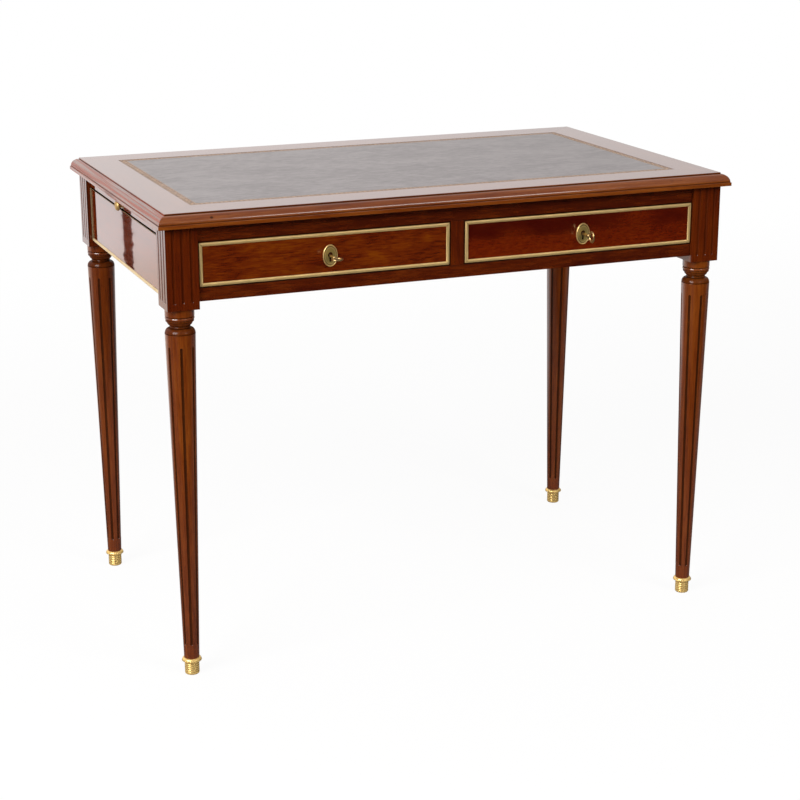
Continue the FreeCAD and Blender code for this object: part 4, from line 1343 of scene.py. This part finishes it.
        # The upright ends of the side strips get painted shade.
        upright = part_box("left_side_brass_frame")[1].y - self.side_upright
        self.side_brass = Brass("side_strip_brass", (0.88, 0.71, 0.42), painted_shade_from=upright).make()
        self.plate = {
            side: Brass(
                f"{side.word}_plate_brass", (0.80, 0.56, 0.22), roughness=0.33,
                plate=f"{side.word}_escutcheon").make()
            for side in Side
        }
        self.lock = Brass("lock_brass", (0.56, 0.42, 0.20), tarnished=0.6, roughness=0.38).make()
        self.steel = Steel("bolt_steel").make()
        self.key = Brass("key_brass", (0.66, 0.45, 0.20), tarnished=0.5, roughness=0.20, metal=0.95).make()


# Pieces of the desk

class SubAssembly:
    """Pieces of the desk that belong together."""

    def hand_over(
        self, piece: Piece, finish: bpy.types.Material, slot: str, body: str, *nodes: str, flats: bool = True
    ) -> None:
        """Dresses a finished piece and lets it ride on its body.

        Args:
            piece: the piece, in place.
            finish: its material.
            slot: the record's slot of its finish; not used.
            body: the body that it moves with.
            nodes: the CAD nodes that it stands for.
            flats: whether it has large flat faces.
        """
        piece.data.materials.clear()
        piece.data.materials.append(finish)
        Bench.smooth(piece, flats)
        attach(piece, body)
        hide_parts(*nodes)
        LOG.info("%s: %d faces, rides on %s", piece.name, len(piece.data.polygons), body)


@dataclass
class Legs(SubAssembly):
    """The four legs, each a fluted block with a turned, fluted column below it."""

    sizes: LegProfile
    finishes: Finishes
    ease: float = 0.7 * MM
    cutter_steps: int = 20

    def turn(self, corner: Corner) -> float:
        """How far a leg's first flute is turned from the front, in degrees."""
        return {
            Corner.FRONT_LEFT: 13.0,
            Corner.FRONT_RIGHT: 1.5,
            Corner.BACK_LEFT: 26.0,
            Corner.BACK_RIGHT: 7.5,
        }[corner]

    def outline(self) -> list[Point]:
        """Radius and height of the turned column's outline, from the block down."""
        s = self.sizes
        arris = s.arris
        points = [(0, s.block_bottom + arris), (s.collar_radius, s.block_bottom + arris)]
        points += [(s.collar_radius, s.collar_end + arris), (s.collar_radius - arris, s.collar_end)]
        points += bow(points[-1], (s.bead_radius, s.bead_start), -s.groove_depth, 5)
        points += bow(points[-1], (s.bead_radius, s.bead_end), s.bead_swell, 10)
        points += bow(points[-1], (s.band_radius, s.bead_end - arris), -arris, 3)
        points += [(s.band_radius, s.band_end + arris), (s.band_radius - arris, s.band_end)]
        points.append((s.ogee_radius, s.band_end))
        points += bow(points[-1], (s.neck_radius, s.neck_start), s.ogee_swell, 10)
        points += bow(points[-1], (s.neck_radius, s.neck_end), s.neck_swell, 8)
        points += bow(points[-1], (s.shoulder_radius, s.shoulder_end), s.shoulder_swell, 12)
        points += bow(points[-1], (s.taper_top_radius, s.taper_top), -s.groove_depth, 5)
        points += [(s.taper_foot_radius, s.sabot_height - arris), (0, s.sabot_height - arris)]
        return points

    def cutter(self, radius: float, run: float) -> Piece:
        """Round cutter with rounded ends, standing on the origin."""
        tip = self.sizes.flute_tip
        points = round_tip(radius, tip, 0, False) + round_tip(radius, tip, run, True)
        return Bench.lathe("cutter", points, self.cutter_steps)

    def column(self) -> Piece:
        """The turned column, with its first flute on +X."""
        s = self.sizes
        column = Bench.lathe("leg_column", self.outline(), s.steps)
        slope = (s.taper_top_radius - s.taper_foot_radius) / (s.taper_top - s.sabot_height)
        foot_z = s.sabot_height + s.flute_foot_stop
        foot_radius = s.taper_foot_radius + slope * s.flute_foot_stop
        run = s.taper_top - s.flute_top_stop - foot_z
        first = self.cutter(s.flute_radius, math.hypot(run, run * slope))
        Bench.put(first, turned_by(math.atan(slope), "Y"))
        Bench.put(first, moved_by(foot_radius + s.flute_radius - s.flute_depth, 0, foot_z))
        cutters = [first]
        for number in range(1, s.flutes):
            cutters.append(Bench.copy(first, "cutter", turned_by(FULL_TURN * number / s.flutes)))
        return Bench.carve(column, Bench.join("cutters", cutters))

    def block(self) -> Piece:
        """The square block of the front left leg on the Z axis, fluted on its -X and -Y faces."""
        s = self.sizes
        half = s.block_side / 2
        block = Bench.block("leg_block", (-half, -half, s.block_bottom), (half, half, s.block_top))
        Bench.ease(block, self.ease)
        start = s.block_bottom + s.block_flute_stop
        first = self.cutter(s.block_flute_radius, s.block_top - start + s.block_flute_stop)
        cutters = []
        for number in range(1, s.block_flutes + 1):
            across = (number - (s.block_flutes + 1) / 2) * s.block_flute_pitch
            out = half + s.block_flute_radius - s.block_flute_depth
            for x, y in ((-out, across), (across, -out)):
                cutters.append(Bench.copy(first, "cutter", moved_by(x, y, start)))
        Bench.discard(first)
        return Bench.carve(block, Bench.join("cutters", cutters))

    def build(self) -> None:
        """Makes the four legs."""
        column, block = self.column(), self.block()
        for number, corner in enumerate(Corner):
            place = self.sizes.place(corner)
            turn = turned_by(-QUARTER_TURN - math.radians(self.turn(corner)))
            leg = Bench.copy(column, f"{corner.word}_leg_column", place @ turn)
            head = Bench.copy(block, f"{corner.word}_leg_block", place @ turned_by(QUARTER_TURN * number))
            node = f"{corner.word}_leg"
            self.hand_over(leg, self.finishes.column, "mahogany", "frame", node, flats=False)
            self.hand_over(head, self.finishes.block, "mahogany", "frame", node)
        Bench.discard(column, block)


@dataclass
class Sabots(SubAssembly):
    """The brass foot cups."""

    sizes: SabotProfile
    legs: LegProfile
    finishes: Finishes
    steps: int = 64
    base_swell: float = 0.3 * MM
    foot_swell: float = 0.4 * MM
    pearl_draw: float = 1.25
    pearl_sunk: float = 0.6
    pearl_rise: float = 0.3 * MM

    def outline(self) -> list[Point]:
        """Radius and height of the cup's outline, from the lip down."""
        s = self.sizes
        lip = (s.lip_radius, self.legs.sabot_height)
        flare = (s.flare_radius, s.waist_top + s.flare_height)
        waist = (s.waist_radius, s.waist_top)
        points = [(0, lip[1] - CLOSE), lip]
        points += bow(lip, flare, s.lip_swell, 8)
        points += bow(flare, waist, -s.flare_hollow, 10)
        step = (s.waist_top - s.base_height) / s.reeds
        for number in range(s.reeds):
            top = s.waist_top - number * step
            points += bow((s.waist_radius, top), (s.waist_radius, top - step), s.reed_swell, 6)
        points.append((s.base_radius, s.base_height - self.foot_swell))
        points += bow(points[-1], (s.base_radius, s.base_ease), self.base_swell, 5)
        points += bow(points[-1], (s.foot_radius, 0), self.foot_swell, 5)
        points.append((0, 0))
        return points

    def bead(self) -> Piece:
        """One pearl of the row round the flare, drawn out a little upwards."""
        s = self.sizes
        Bench.clear()
        bpy.ops.mesh.primitive_uv_sphere_add(segments=10, ring_count=6, radius=s.bead_radius)
        bead = Bench.added("pearl")
        Bench.open(bead)
        bpy.ops.transform.resize(value=(1, 1, self.pearl_draw))
        Bench.close()
        out = s.flare_radius - s.bead_radius * self.pearl_sunk
        return Bench.put(bead, moved_by(out, 0, s.waist_top + s.flare_height + self.pearl_rise))

    def build(self) -> None:
        """Makes the four cups."""
        cup = Bench.lathe("sabot", self.outline(), self.steps)
        bead = self.bead()
        beads = [
            Bench.copy(bead, "pearl", turned_by(FULL_TURN * number / self.sizes.beads))
            for number in range(self.sizes.beads)]
        Bench.discard(bead)
        cup = Bench.join("sabot", [cup, *beads])
        for corner in Corner:
            copy = Bench.copy(cup, f"{corner.word}_foot_cup", self.legs.place(corner))
            self.hand_over(
                copy, self.finishes.sabot, "polished_brass", "frame", f"{corner.word}_sabot", flats=False)
        Bench.discard(cup)


@dataclass
class TopBorder(SubAssembly):
    """The four moulded boards round the leather, mitred at the corners."""

    sizes: BorderProfile
    finishes: Finishes

    def section(self) -> list[Point]:
        """Depth from the edge and height above the underside of the moulding's outline."""
        s = self.sizes
        shelf = (s.reach - s.ledge, s.thickness - s.step)
        points = [(s.width, 0), (s.arris, 0)]
        points += bow((s.arris, 0), (0, s.arris), s.arris * 0.3, 3)
        points.append((0, s.fillet - s.fillet_round))
        points += bow(points[-1], (s.fillet_round, s.fillet), s.fillet_round * 0.4, 6)
        points += [(s.quirk, s.fillet), (s.quirk, s.fillet + s.quirk_height)]
        points += bow(points[-1], shelf, s.swell, 14)
        points += [(s.reach, shelf[1]), (s.reach, s.thickness - s.arris)]
        points += bow(points[-1], (s.reach + s.arris, s.thickness), s.arris * 0.3, 3)
        points += [(s.reach + 2 * s.arris, s.thickness), (s.width, s.thickness)]
        return points

    def mitred(self, name: str, length: float) -> Piece:
        """A board along X, mitred at both ends.

        Its moulded edge lies on Y = 0 towards -Y, and its middle on X = 0.

        Args:
            name: name of the piece.
            length: length along the outer edge.

        Returns:
            The piece.
        """
        half = length / 2
        section = self.section()
        piece = Bench.outline(name, [(-half, y, z) for y, z in section + section[:1]])
        Bench.open(piece)
        bpy.ops.mesh.remove_doubles(threshold=CLOSE)
        bpy.ops.mesh.select_all(action="SELECT")
        bpy.ops.mesh.edge_face_add()
        bpy.ops.mesh.extrude_region_move(TRANSFORM_OT_translate={"value": (length, 0, 0)})
        for sign in (-1, 1):
            end = (sign * (half - self.sizes.joint), 0, 0)
            bpy.ops.mesh.select_all(action="SELECT")
            bpy.ops.mesh.bisect(plane_co=end, plane_no=(sign, 1, 0), use_fill=True, clear_outer=True)
        Bench.close()
        return Bench.mend(piece)

    def build(self) -> None:
        """Makes the four boards."""
        long_board = self.mitred("long_board", self.sizes.length)
        end_board = self.mitred("end_board", self.sizes.depth)
        half_x, half_y = self.sizes.length / 2, self.sizes.depth / 2
        plan = [
            ("front", long_board, 0.0, (0, -half_y), Grain.ALONG_X),
            ("right", end_board, QUARTER_TURN, (half_x, 0), Grain.ALONG_Y),
            ("back", long_board, 2 * QUARTER_TURN, (0, half_y), Grain.ALONG_X),
            ("left", end_board, -QUARTER_TURN, (-half_x, 0), Grain.ALONG_Y),
        ]
        for word, board, turn, (x, y), grain in plan:
            matrix = moved_by(x, y, self.sizes.underside) @ turned_by(turn)
            copy = Bench.copy(board, f"top_{word}_moulding", matrix)
            self.hand_over(copy, self.finishes.border[grain], "mahogany", "frame", f"top_{word}_border")
        Bench.discard(long_board, end_board)


@dataclass
class BrassStrips(SubAssembly):
    """The mitred brass strips on the drawers, the back and the sides."""

    finishes: Finishes
    width: float = 5.5 * MM
    edge: float = 0.55 * MM
    rounding: tuple[Point, ...] = ((0.40 * MM, 0.55 * MM), (0.70 * MM, 0.50 * MM), (0.95 * MM, 0.30 * MM))
    play: float = 0.9 * MM

    def strips(self, name: str, length: float, height: float, open_top: bool) -> Piece:
        """A rectangle of strips in the XY plane, its lower left corner on the origin.

        Args:
            name: name of the piece.
            length: length along X.
            height: height along Y.
            open_top: whether it has no strip along its top.

        Returns:
            The piece.
        """
        full = height + self.width if open_top else height
        piece = Bench.sheet(name, length, full, (length / 2, full / 2, 0))
        Bench.open(piece, Pick.FACES)
        bpy.ops.mesh.inset(thickness=self.width, use_even_offset=True)
        bpy.ops.mesh.delete(type=Pick.FACES.value)
        bpy.ops.mesh.select_all(action="SELECT")
        bpy.ops.mesh.extrude_region_move(TRANSFORM_OT_translate={"value": (0, 0, self.edge)})
        for inset, rise in self.rounding:
            bpy.ops.mesh.inset(thickness=inset, use_even_offset=True, use_boundary=True)
            bpy.ops.transform.translate(value=(0, 0, rise))
        if open_top:
            bpy.ops.mesh.select_all(action="SELECT")
            bpy.ops.mesh.bisect(plane_co=(0, height, 0), plane_no=(0, 1, 0), use_fill=True, clear_outer=True)
        Bench.close()
        return Bench.mend(piece)

    def stand(self, piece: Piece, turn: float, x: float, y: float, z: float) -> Piece:
        """Stands strips that lie on their back upright, turns them and puts them in place."""
        return Bench.put(piece, moved_by(x, y, z) @ turned_by(turn) @ turned_by(QUARTER_TURN, "X"))

    def build(self) -> None:
        """Makes the strips of the drawers, the sides and the back."""
        for side in Side:
            node = f"{side.word}_drawer_brass_frame"
            low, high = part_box(node)
            length, height = high.x - low.x - 2 * self.play, high.z - low.z - 2 * self.play
            piece = self.strips(f"{side.word}_drawer_strips", length, height, False)
            self.stand(piece, 0, low.x + self.play, high.y, low.z + self.play)
            self.hand_over(piece, self.finishes.brass, "polished_brass", f"{side.word}_drawer", node)
            node = f"{side.word}_side_brass_frame"
            low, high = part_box(node)
            piece = self.strips(f"{side.word}_side_strips", high.y - low.y, high.z - low.z, True)
            if side is Side.LEFT:
                self.stand(piece, -QUARTER_TURN, high.x, high.y, low.z)
            else:
                self.stand(piece, QUARTER_TURN, low.x, low.y, low.z)
            self.hand_over(piece, self.finishes.side_brass, "polished_brass", "frame", node)
        low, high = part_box("back_brass_frames")
        front_low, front_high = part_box("right_drawer_brass_frame")
        length = front_high.x - front_low.x
        pair = []
        for end in (high.x, low.x + length):
            piece = self.strips("back_strips", length, high.z - low.z, False)
            pair.append(self.stand(piece, 2 * QUARTER_TURN, end, low.y, low.z))
        piece = Bench.join("back_strips", pair)
        self.hand_over(piece, self.finishes.brass, "polished_brass", "frame", "back_brass_frames")


@dataclass
class LockFurniture(SubAssembly):
    """The escutcheons and the keys."""

    finishes: Finishes
    plate_width: float = 24.6 * MM
    plate_height: float = 35.6 * MM
    plate_thickness: float = 1.2 * MM
    rim_rise: float = 1.1 * MM
    rim_round: float = 0.9 * MM
    plate_steps: tuple[Point, ...] = (
        (0.30 * MM, 0.60 * MM), (0.45 * MM, 0.30 * MM), (0.45 * MM, -0.02 * MM), (0.45 * MM, -0.30 * MM),
        (0.30 * MM, -0.70 * MM), (0.55 * MM, 0), (0.30 * MM, 0.55 * MM), (0.60 * MM, 0.15 * MM),
        (0.90 * MM, -0.05 * MM), (0.70 * MM, -0.25 * MM),
    )
    hole_radius: float = 4.3 * MM
    hole_rise: float = 1.3 * MM
    slot_width: float = 3.4 * MM
    slot_length: float = 10.0 * MM
    stem_radius: float = 2.4 * MM
    collar_radius: float = 3.5 * MM
    bow_width: float = 20.0 * MM
    bow_length: float = 18.0 * MM
    bow_wire: float = 3.8 * MM
    bit_reach: float = 8.0 * MM
    bit_thickness: float = 3.0 * MM
    bit_length: float = 3.8 * MM
    bit_start: float = 7.5 * MM
    bit_ease: float = 0.3 * MM
    plate_corners: int = 72
    round_steps: int = 32
    stem_ease: float = 0.5 * MM
    first_collar: Span = (-0.8 * MM, 1.2 * MM)
    second_collar: Span = (1.4 * MM, 2.8 * MM)
    second_share: float = 0.8
    collars_end: float = 3.2 * MM
    bow_flat: float = 0.85

    def plate(self) -> Piece:
        """The oval plate in the XY plane, its long way along Y, with a raised rim and a groove inside it."""
        Bench.clear()
        bpy.ops.mesh.primitive_circle_add(vertices=self.plate_corners, radius=0.5, fill_type="NGON")
        plate = Bench.added("escutcheon")
        plate.scale = (self.plate_width, self.plate_height, 1)
        Bench.settle(plate)
        Bench.open(plate, Pick.FACES)
        side = self.plate_thickness + self.rim_rise - self.rim_round
        bpy.ops.mesh.extrude_region_move(TRANSFORM_OT_translate={"value": (0, 0, side)})
        for inset, rise in self.plate_steps:
            bpy.ops.mesh.inset(thickness=inset)
            bpy.ops.transform.translate(value=(0, 0, rise))
        Bench.close()
        return Bench.mend(plate)

    def keyhole(self) -> Piece:
        """Cutter in the shape of a keyhole, whose round part leaves room above a key on the origin."""
        high = self.plate_thickness + self.rim_rise
        points = [(0, -high), (self.hole_radius, -high), (self.hole_radius, 2 * high), (0, 2 * high)]
        round_part = Bench.lathe("keyhole", points, self.round_steps)
        Bench.put(round_part, moved_by(0, self.hole_rise, 0))
        half = self.slot_width / 2
        slot = Bench.block("keyhole_slot", (-half, -self.slot_length, -high), (half, 0, 2 * high))
        return Bench.carve(round_part, slot, Blend.FUSE)

    def key(self, low: Vector, high: Vector) -> Piece:
        """A key along Y with its bow flat and its bit towards -X, its stem on the Y axis.

        Args:
            low: lowest corner of the CAD key.
            high: highest corner of it.

        Returns:
            The piece.
        """
        neck = low.y + self.bow_length - self.bow_wire / 2
        tip = high.y
        r, swell = self.stem_radius, self.collar_radius - self.stem_radius
        (first, first_end), (second, second_end) = self.first_collar, self.second_collar
        points = [(0, neck + first), (r, neck + first)]
        points += bow((r, neck + first), (r, neck + first_end), -swell, 8)
        points += bow((r, neck + second), (r, neck + second_end), -swell * self.second_share, 8)
        points += [(r, neck + self.collars_end), (r, tip - self.stem_ease)]
        points += [(r - self.stem_ease, tip), (0, tip)]
        stem = Bench.lathe("key_stem", points, self.round_steps)
        Bench.put(stem, turned_by(-QUARTER_TURN, "X"))
        start, half = tip - self.bit_start, self.bit_thickness / 2
        ring = self.bow_ring()
        Bench.put(ring, moved_by(0, low.y + self.bow_length / 2, 0))
        bit = Bench.block("key_bit", (-self.bit_reach, start, -half), (-r / 2, start + self.bit_length, half))
        Bench.ease(bit, self.bit_ease)
        return Bench.join("key", [stem, ring, bit])

    def bow_ring(self) -> Piece:
        """The oval bow, made from a round ring of unit size that is drawn out while its wire stays even."""
        unit, thin = 0.5, 0.1
        Bench.clear()
        bpy.ops.mesh.primitive_torus_add(
            major_segments=48, minor_segments=14, major_radius=unit, minor_radius=thin)
        ring = Bench.added("key_bow")
        wire = self.bow_wire / 2
        half_x = self.bow_width / 2 - wire
        half_y = self.bow_length / 2 - wire
        for vert in ring.data.vertices:
            flat = Vector((vert.co.x, vert.co.y, 0))
            way = flat.normalized()
            centre = Vector((way.x * half_x, way.y * half_y, 0))
            normal = Vector((way.x / half_x, way.y / half_y, 0)).normalized()
            up = Vector((0, 0, vert.co.z / thin * wire * self.bow_flat))
            vert.co = centre + normal * ((flat.length - unit) / thin) * wire + up
        return ring

    def build(self) -> None:
        """Makes both escutcheons and both keys."""
        for side in Side:
            node = f"{side.word}_escutcheon"
            low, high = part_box(node)
            middle = (low + high) / 2
            plate = Bench.carve(self.plate(), self.keyhole())
            Bench.name(plate, f"{side.word}_keyhole_plate")
            Bench.put(plate, moved_by(middle.x, high.y, middle.z) @ turned_by(QUARTER_TURN, "X"))
            self.hand_over(plate, self.finishes.plate[side], "polished_brass", f"{side.word}_drawer", node)
            node = f"{side.word}_key"
            low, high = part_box(node)
            key = Bench.name(self.key(low, high), f"{side.word}_turned_key")
            turn = 0.0 if side is Side.LEFT else -QUARTER_TURN
            Bench.put(key, moved_by(middle.x, 0, middle.z) @ turned_by(turn, "Y"))
            self.hand_over(key, self.finishes.key, "key_steel", f"{side.word}_key", node)


@dataclass
class SlideKnobs(SubAssembly):
    """The brass knobs of the writing slides."""

    finishes: Finishes
    foot_radius: float = 5.4 * MM
    foot_height: float = 1.3 * MM
    stem_radius: float = 3.2 * MM
    stem_height: float = 6.0 * MM
    rise: float = 1.8 * MM
    radius: float = 8.7 * MM
    band: float = 2.8 * MM
    crown: float = 2.9 * MM
    face_radius: float = 4.6 * MM
    drop: float = 0.7 * MM
    foot_swell: float = 0.3 * MM
    stem_swell: float = 0.9 * MM
    rim_round: float = 0.5 * MM
    crown_round: float = 0.4 * MM
    band_swell: float = 0.2 * MM
    crown_swell: float = 0.7 * MM
    face_swell: float = 0.35 * MM
    steps: int = 48

    def outline(self) -> list[Point]:
        """Radius and height of the knob's outline, from its foot up."""
        rim = self.stem_height + self.rise
        crown = rim + self.band
        points = [(0, 0), (self.foot_radius, 0)]
        for radius, height, swell, parts in (
            (self.foot_radius, self.foot_height, -self.foot_swell, 4),
            (self.stem_radius, self.stem_height / 2, self.stem_swell, 8),
            (self.radius - self.rim_round, rim, self.stem_swell, 8),
            (self.radius, rim + self.band / 2, -self.band_swell, 4),
            (self.radius - self.crown_round, crown, -self.band_swell, 4),
            (self.face_radius, crown + self.crown, -self.crown_swell, 8),
            (0, crown + self.crown, self.face_swell, 6),
        ):
            points += bow(points[-1], (radius, height), swell, parts)
        return points

    def build(self) -> None:
        """Makes both knobs."""
        knob = Bench.lathe("slide_knob", self.outline(), self.steps)
        for side in Side:
            node = f"{side.word}_slide_knob"
            low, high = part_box(node)
            middle = (low + high) / 2
            root = high.x if side is Side.LEFT else low.x
            turn = turned_by(QUARTER_TURN * side.value, "Y")
            place = moved_by(root, middle.y, middle.z - self.drop)
            copy = Bench.copy(knob, f"{side.word}_turned_knob", place @ turn)
            body = f"{side.word}_writing_slide"
            self.hand_over(copy, self.finishes.knob, "polished_brass", body, node, flats=False)
        Bench.discard(knob)


@dataclass
class Carcase(SubAssembly):
    """The plain boards, which stay as the CAD has them and get their finish."""

    finishes: Finishes

    def plan(self) -> dict[str, bpy.types.Material]:
        """The finish of each node that stays."""
        made = self.finishes
        plan = {
            "front_upper_rail": made.rail,
            "front_lower_rail": made.rail,
            "back_apron": made.back,
            "slide_packing_strips": made.stained,
            "drawer_divider": made.divider,
            "writing_leather": made.leather,
        }
        for side in Side:
            own = {
                "drawer_front": made.front[side],
                "drawer_sides": made.lining,
                "drawer_back": made.lining,
                "drawer_bottom": made.lining,
                "lock_case": made.lock,
                "lock_bolt": made.steel,
                "writing_slide": made.slide,
                "slide_guides": made.side,
                "side_apron": made.side,
            }
            plan.update({f"{side.word}_{name}": finish for name, finish in own.items()})
        return plan

    def build(self) -> None:
        """Dresses the nodes."""
        plan = self.plan()
        for name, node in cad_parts.items():
            if node.hide_render:
                continue
            for slot in node.material_slots:
                slot.material = plan.get(name, self.finishes.carcase)
            LOG.info("%s: %s", name, node.material_slots[0].material.name)


# Light, floor and camera

@dataclass(frozen=True)
class Lamp:
    """A soft rectangular lamp: its place, its width and height, its power in watts."""

    name: str
    place: tuple[float, float, float]
    size: Point
    power: float
    glossy: bool = True


@dataclass
class Studio:
    """The floor, the lamps, the white surroundings and the camera.

    A span holds the places between which something changes: in metres on the floor, and as parts of a
    direction in the sky.
    """

    floor_half: float = 9.0
    floor_front: float = -1.25
    floor_colour: Colour = (0.82, 0.82, 0.82)
    floor_seen: float = 0.93
    floor_far: Span = (0.6, 3.0)
    floor_behind: Span = (0.1, 1.5)
    floor_right: Span = (-0.4, 0.9)
    floor_right_share: float = 0.6
    floor_beside: Span = (-1.25, -0.5)
    floor_beside_level: float = 0.12
    warm_depth: Span = (2.3, 3.3)
    warm_left: Span = (-1.05, -0.8)
    sky_lean: float = 0.1
    sky_behind: Span = (0.1, 0.8)
    sky_behind_level: float = 0.90
    sky_right: Span = (0.15, 0.60)
    sky_right_share: float = 0.20
    sky_above: Span = (0.05, 0.5)
    sky_above_level: float = 0.30
    sky_left: Span = (0.3, 1.0)
    sky_left_level: float = 0.12
    sky_least: float = 0.01
    camera_place: tuple[float, float, float] = (-1.2123, -3.0182, 1.3156)
    camera_yaw: float = 0.386
    camera_pitch: float = 0.2906
    camera_roll: float = -0.0014
    camera_clip: Span = (0.05, 60.0)
    lens: float = 84.69
    sensor: float = 36.0
    tint: Colour = (1.0, 0.94, 0.93)
    warm_tint: Colour = (0.90, 0.74, 0.64)
    stand_place: tuple[float, float, float] = (-0.826, 1.396, 0.30)
    stand_size: float = 1.0
    stand_turn: float = 0.243
    stand_half: Span = (0.0095, 0.0115)
    stand_ragged: float = 0.022
    stand_patch: float = 0.035
    stand_draw: tuple[float, float, float] = (1.5, 0.3, 1.0)
    stand_colour: Colour = (0.02, 0.008, 0.006)
    aim: tuple[float, float, float] = (0.0, 0.0, 0.6)
    lamps: tuple[Lamp, ...] = (
        Lamp("key_lamp", (-3.3, -1.9, 2.7), (2.4, 2.4), 190),
        Lamp("fill_lamp", (1.35, -3.0, 2.3), (1.6, 1.2), 60, glossy=False),
        Lamp("gleam_lamp", (1.15, -3.0, 2.2), (1.2, 0.35), 7),
    )

    def camera(self) -> None:
        """Puts the camera where the photograph was taken."""
        data = bpy.data.cameras.new("photo_camera")
        data.lens = self.lens
        data.sensor_width = self.sensor
        data.clip_start, data.clip_end = self.camera_clip
        camera = bpy.data.objects.new("photo_camera", data)
        bpy.context.scene.collection.objects.link(camera)
        yaw, pitch, roll = self.camera_yaw, self.camera_pitch, self.camera_roll
        ahead = Vector((math.sin(yaw) * math.cos(pitch), math.cos(yaw) * math.cos(pitch), -math.sin(pitch)))
        level = Vector((math.cos(yaw), -math.sin(yaw), 0))
        upright = level.cross(ahead)
        right = level * math.cos(roll) + upright * math.sin(roll)
        up = upright * math.cos(roll) - level * math.sin(roll)
        turn = Matrix((right, up, -ahead)).transposed().to_4x4()
        camera.matrix_world = Matrix.Translation(self.camera_place) @ turn
        bpy.context.scene.camera = camera

    def floor(self) -> None:
        """Lays the pale floor.

        It is white to the camera, yet keeps the desk's shadow. To reflections it glows as a light: dark at
        its front edge, dim round the desk, bright behind it and less so to the right, and warm on the left.
        """
        depth = self.floor_half - self.floor_front
        floor = Bench.sheet("studio_floor", 2 * self.floor_half, depth, (0, self.floor_front + depth / 2, 0))
        shader = Shader(bpy.data.materials.new("pale_floor"))
        x, y, _ = shader.axes()
        cloth = shader.add("ShaderNodeBsdfDiffuse", inputs={"Color": (*self.floor_colour, 1)})
        path = shader.add("ShaderNodeLightPath", output="Is Camera Ray")
        glossy = Value(shader, path.socket.node.outputs["Is Glossy Ray"])
        clear = Value(shader, path.socket.node.outputs["Is Transmission Ray"])
        far = y.rise(*self.floor_far)
        seen = (path * (self.floor_seen + (1 - self.floor_seen) * far)).most(glossy).most(clear)
        behind = y.rise(*self.floor_behind) * (1 - x.rise(*self.floor_right) * self.floor_right_share)
        beside = y.rise(*self.floor_beside) * self.floor_beside_level
        level = path + (1 - path) * beside.most(behind)
        warm = (1 - y.rise(*self.warm_depth)) * (1 - x.rise(*self.warm_left))
        tint = shader.mix(path, shader.mix(warm, self.tint, self.warm_tint), WHITE)
        glow = shader.add("ShaderNodeEmission", inputs={"Color": tint, "Strength": level})
        floor.data.materials.append(shader.end(shader.blended(seen, cloth, glow)))

    def light(self, lamp: Lamp) -> None:
        """Hangs up a lamp, which the camera doesn't see."""
        data = bpy.data.lights.new(lamp.name, "AREA")
        data.shape = "RECTANGLE"
        data.size, data.size_y = lamp.size
        data.energy = lamp.power
        light = bpy.data.objects.new(lamp.name, data)
        bpy.context.scene.collection.objects.link(light)
        light.location = lamp.place
        light.rotation_mode = "QUATERNION"
        light.rotation_quaternion = (Vector(self.aim) - Vector(lamp.place)).to_track_quat("-Z", "Y")
        light.visible_camera = False
        light.visible_glossy = lamp.glossy

    def stand(self) -> None:
        """A dark stand behind the desk, which only shows as a reflection in its left side.

        It is a sheet that is clear all over, save for a ragged strip along its upright middle line.
        """
        stand = Bench.sheet("dark_stand", self.stand_size, self.stand_size)
        place = moved_by(*self.stand_place) @ turned_by(self.stand_turn)
        Bench.put(stand, place @ turned_by(QUARTER_TURN, "X"))
        shader = Shader(bpy.data.materials.new("dark_stand"))
        x, _, _ = shader.axes()
        drawn = shader.mapped(shader.place(), self.stand_draw)
        ragged = shader.noise(drawn, self.stand_patch, 5.0, 0.75)
        across = abs(x - self.stand_place[0] + (ragged - 0.5) * self.stand_ragged)
        gap = shader.add("ShaderNodeBsdfTransparent")
        dark = shader.add("ShaderNodeEmission", inputs={"Color": (*self.stand_colour, 1), "Strength": 1.0})
        stand.data.materials.append(shader.end(shader.blended(1 - across.rise(*self.stand_half), gap, dark)))
        stand.visible_camera = False
        stand.visible_shadow = False
        stand.visible_diffuse = False

    def surroundings(self) -> None:
        """White to the camera, and else bright behind the desk and dim in front of it."""
        world = bpy.data.worlds.new("studio")
        bpy.context.scene.world = world
        shader = Shader(world)
        x, y, z = shader.axes(shader.add("ShaderNodeTexCoord", output="Generated"))
        behind = (y - x * self.sky_lean).rise(*self.sky_behind)
        above = z.rise(*self.sky_above) * self.sky_above_level
        left = (0 - x).rise(*self.sky_left) * self.sky_left_level
        back_light = behind * (self.sky_behind_level - x.rise(*self.sky_right) * self.sky_right_share)
        light = self.sky_least + back_light + (1 - behind) * (above + left)
        path = shader.add("ShaderNodeLightPath", output="Is Camera Ray")
        strength = light + path * (1 - light)
        tint = shader.mix(path, self.tint, WHITE)
        glow = shader.add("ShaderNodeBackground", inputs={"Color": tint, "Strength": strength})
        shader.add("ShaderNodeOutputWorld", inputs={"Surface": glow})

    def build(self) -> None:
        """Sets up the studio."""
        self.floor()
        self.surroundings()
        for lamp in self.lamps:
            self.light(lamp)
        self.stand()
        self.camera()
        bpy.context.scene.view_settings.view_transform = "Standard"


def main() -> None:
    """Builds and dresses the whole desk."""
    logging.basicConfig(level=logging.INFO, format="%(message)s")
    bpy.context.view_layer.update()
    finishes = Finishes()
    Legs(LEG, finishes).build()
    Sabots(SABOT, LEG, finishes).build()
    TopBorder(BORDER, finishes).build()
    BrassStrips(finishes).build()
    LockFurniture(finishes).build()
    SlideKnobs(finishes).build()
    Carcase(finishes).build()
    Studio().build()


if __name__ == "__main__":
    main()
